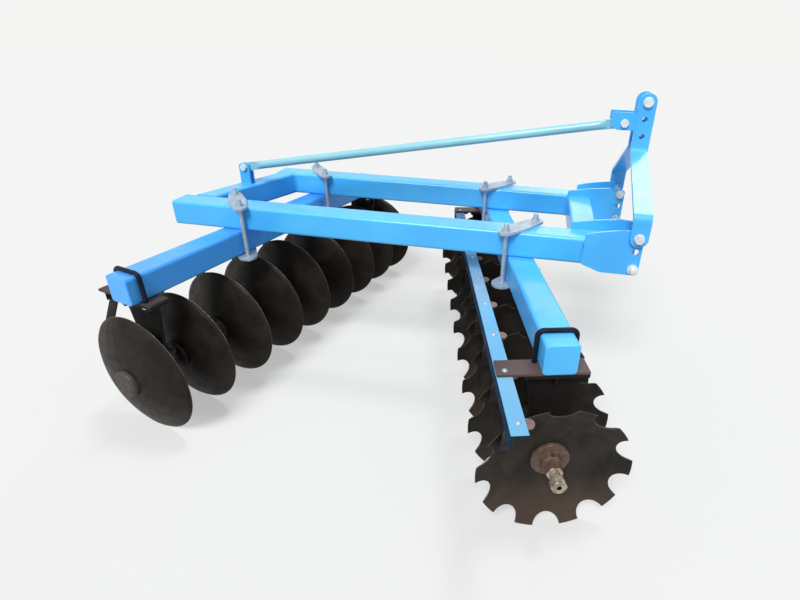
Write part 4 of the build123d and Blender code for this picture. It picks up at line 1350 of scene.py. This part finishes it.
@dataclass
class FrameWelds(Assembly):
    """The beads that join the frame's tubes, cheek plates and ears."""

    corner: float = 0.014
    bead: WeldBead = WeldBead(0.0042)
    fine: WeldBead = WeldBead(0.003, 0.0022)
    proud: float = 0.001
    rear_width: float = 0.1
    rear_slant: float = 20.0
    cheek_gap: float = 0.2
    cheek_foot: float = 0.012
    cheek_sunk: float = 0.0035
    cheek_over: float = 0.0085
    cheek_ends: tuple[float, float] = (0.004, 0.006)
    ear: float = 0.012

    def tube_end(
        self, x: float, rear: float, front: float, foot: float, top: float, over: float,
    ) -> list[Line]:
        """Find the lines over the top and down both sides of a tube that ends against a beam.

        Args:
            x: Where the tube ends.
            rear: Its rear side.
            front: Its front side.
            foot: Its underside.
            top: Its top.
            over: Height of the upper line over the top.

        Returns:
            The lines.
        """
        lines = [((x, rear + self.corner, top + over), (x, front - self.corner, top + over))]
        for y in (rear - self.proud, front + self.proud):
            lines.append(((x, y, foot + self.corner), (x, y, top - self.corner)))
        return lines

    def cross_members(self) -> list[Line]:
        """Find the lines at both ends of both cross members.

        Returns:
            The lines.
        """
        right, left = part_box("main_beam_right")[0].x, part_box("main_beam_left")[1].x
        low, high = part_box("rear_cross_member")
        width = self.rear_width / math.cos(math.radians(self.rear_slant))
        lines = []
        for x, rear in ((right - self.proud, low.y), (left + self.proud, high.y - width)):
            lines += self.tube_end(x, rear, rear + width, low.z, high.z - 2 * self.proud, 0.0)
        low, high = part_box("front_cross_member")
        for x in (low.x + 2 * self.proud, high.x - 2 * self.proud):
            lines += self.tube_end(x, low.y, high.y, low.z, high.z, self.proud)
        return lines

    def cheeks(self) -> list[Line]:
        """Find the lines along the cheek plates' rear edges and over the beams' rounded corners.

        Returns:
            The lines.
        """
        right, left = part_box("main_beam_right"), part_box("main_beam_left")
        lines = []
        for plate in solids("hitch_plates"):
            low, high = right if plate.high.x > left[1].x + self.cheek_gap else left
            face, out = (plate.low.x, 1) if plate.low.x > (low.x + high.x) / 2 else (plate.high.x, -1)
            x, y, top = face + out * self.proud, plate.low.y - self.proud, high.z - self.corner
            lines.append(((x, y, low.z + self.cheek_foot), (x, y, top)))
            x, z = face - out * self.cheek_sunk, top + self.cheek_over
            start, end = plate.low.y + self.cheek_ends[0], high.y - self.cheek_ends[1]
            lines.append(((x, start, z), (x, end, z)))
        return lines

    def ears(self) -> list[Line]:
        """Find the lines round the feet of the stay's two ears.

        Returns:
            The lines.
        """
        low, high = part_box("mast_stay_ears")
        z = low.z + self.proud
        lines = [((x, low.y, z), (x, high.y, z)) for x in (low.x - self.proud, high.x + self.proud)]
        for y in (low.y - self.proud / 2, high.y + self.proud / 2):
            lines += [((x, y, z), (x + self.ear, y, z)) for x in (low.x, high.x - self.ear)]
        return lines

    def build(self) -> None:
        """Lay every bead."""
        for bead, name, lines in (
            (self.bead, "cross_member_welds", self.cross_members()),
            (self.bead, "cheek_plate_welds", self.cheeks()),
            (self.fine, "ear_welds", self.ears()),
        ):
            self.fit(bead.run(name, lines), Slot.FRAME_BLUE, smooth=60.0)


# ---------------------------------------------------------------- studio


@dataclass(frozen=True)
class Lamp:
    """A large soft lamp far away, with the direction it shines from and how wide it looks in degrees."""

    name: str
    strength: float
    source: Step
    spread: float

    def hang(self) -> None:
        """Hang the lamp."""
        data = bpy.data.lights.new(self.name, "SUN")
        data.energy = self.strength
        data.angle = math.radians(self.spread)
        lamp = bpy.data.objects.new(self.name, data)
        bpy.context.scene.collection.objects.link(lamp)
        lamp.rotation_euler = Vector(self.source).to_track_quat("Z", "Y").to_euler()


@dataclass
class Studio:
    """The floor, the backdrop, the lamps and the camera."""

    white: float = 0.36
    glow: float = 0.44
    bounce: float = 0.4
    sky: float = 0.33
    lamps: tuple[Lamp, ...] = (
        Lamp("key", 3.0, (0.62, -0.12, 0.77), 24.0),
        Lamp("top", 0.8, (-0.228, 0.203, 0.951), 12.0),
        Lamp("back", 0.17, (-0.92, 0.1, 0.38), 20.0),
    )
    stand: Step = (1.965, 1.7467, 1.653)
    yaw: float = -0.165
    pitch: float = -0.45
    roll: float = 0.031
    lens: float = 21.527
    shift: tuple[float, float] = (-0.0687, -0.0459)

    def floor(self) -> None:
        """Lay a wide floor at ground level, pale to look at and plainer in the light it throws back."""
        deselect()
        bpy.ops.mesh.primitive_plane_add(size=60.0, location=(0.0, 0.0, -0.0005))
        plane = bpy.context.object
        plane.name = "floor"
        shader = Shader("floor")
        seen = shader.seen()
        plain = (0.92 * self.bounce, self.bounce, 1.08 * self.bounce)
        plane.data.materials.append(shader.finished({
            "Base Color": shader.blend(seen, plain, (self.white, self.white, 0.985 * self.white)),
            "Emission Color": (1.0, 1.0, 0.985),
            "Emission Strength": shader.times(seen, self.glow),
            "Roughness": 0.9,
            "Specular IOR Level": 0.0,
        }))

    def world(self) -> None:
        """Surround the scene with soft pale light."""
        world = bpy.data.worlds.new("studio")
        bpy.context.scene.world = world
        world.use_nodes = True
        nodes = Nodes(world.node_tree)
        light = world.node_tree.nodes["Background"]
        nodes.feed(light, {"Color": (0.85, 0.93, 1.0), "Strength": self.sky})
        view = nodes.add("ShaderNodeBackground", {"Color": (0.905, 0.905, 0.89), "Strength": 1.0})
        mix = nodes.add("ShaderNodeMixShader", {0: nodes.seen(), 1: light.outputs[0], 2: view.outputs[0]})
        nodes.feed(world.node_tree.nodes["World Output"], {0: mix.outputs[0]})

    def camera(self) -> None:
        """Stand the camera to the front and right of the machine, looking back and down."""
        low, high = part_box("main_beam_right")
        level = math.cos(self.pitch)
        ahead = Vector((-math.cos(self.yaw) * level, math.sin(self.yaw) * level, math.sin(self.pitch)))
        right = Vector((math.sin(self.yaw), math.cos(self.yaw), 0.0))
        up = right.cross(ahead)
        lean = Matrix.Rotation(self.roll, 3, -ahead)
        data = bpy.data.cameras.new("camera")
        data.sensor_width = 36.0
        data.lens = self.lens
        data.shift_x, data.shift_y = self.shift
        data.clip_end = 200.0
        camera = bpy.data.objects.new("camera", data)
        bpy.context.scene.collection.objects.link(camera)
        turned = Matrix((lean @ right, lean @ up, -ahead)).transposed().to_4x4()
        camera.matrix_world = shift(high.x + self.stand[0], low.y + self.stand[1], self.stand[2]) @ turned
        bpy.context.scene.camera = camera

    def build(self) -> None:
        """Set up the whole studio."""
        self.floor()
        self.world()
        for lamp in self.lamps:
            lamp.hang()
        self.camera()
        bpy.context.scene.view_settings.view_transform = "Standard"


def main() -> None:
    """Build the harrow's looks and the studio round it."""
    logging.basicConfig(level=logging.INFO, format="%(message)s")
    gangs = find_gangs()
    wardrobe = Wardrobe(gangs)
    wardrobe.dress()
    ClampFittings(wardrobe).build()
    for gang in gangs:
        for assembly in (HangerFittings, ScraperFittings, ShaftFittings):
            assembly(wardrobe, gang).build()
    HitchFittings(wardrobe).build()
    FrameWelds(wardrobe).build()
    Studio().build()


if __name__ == "__main__":
    main()
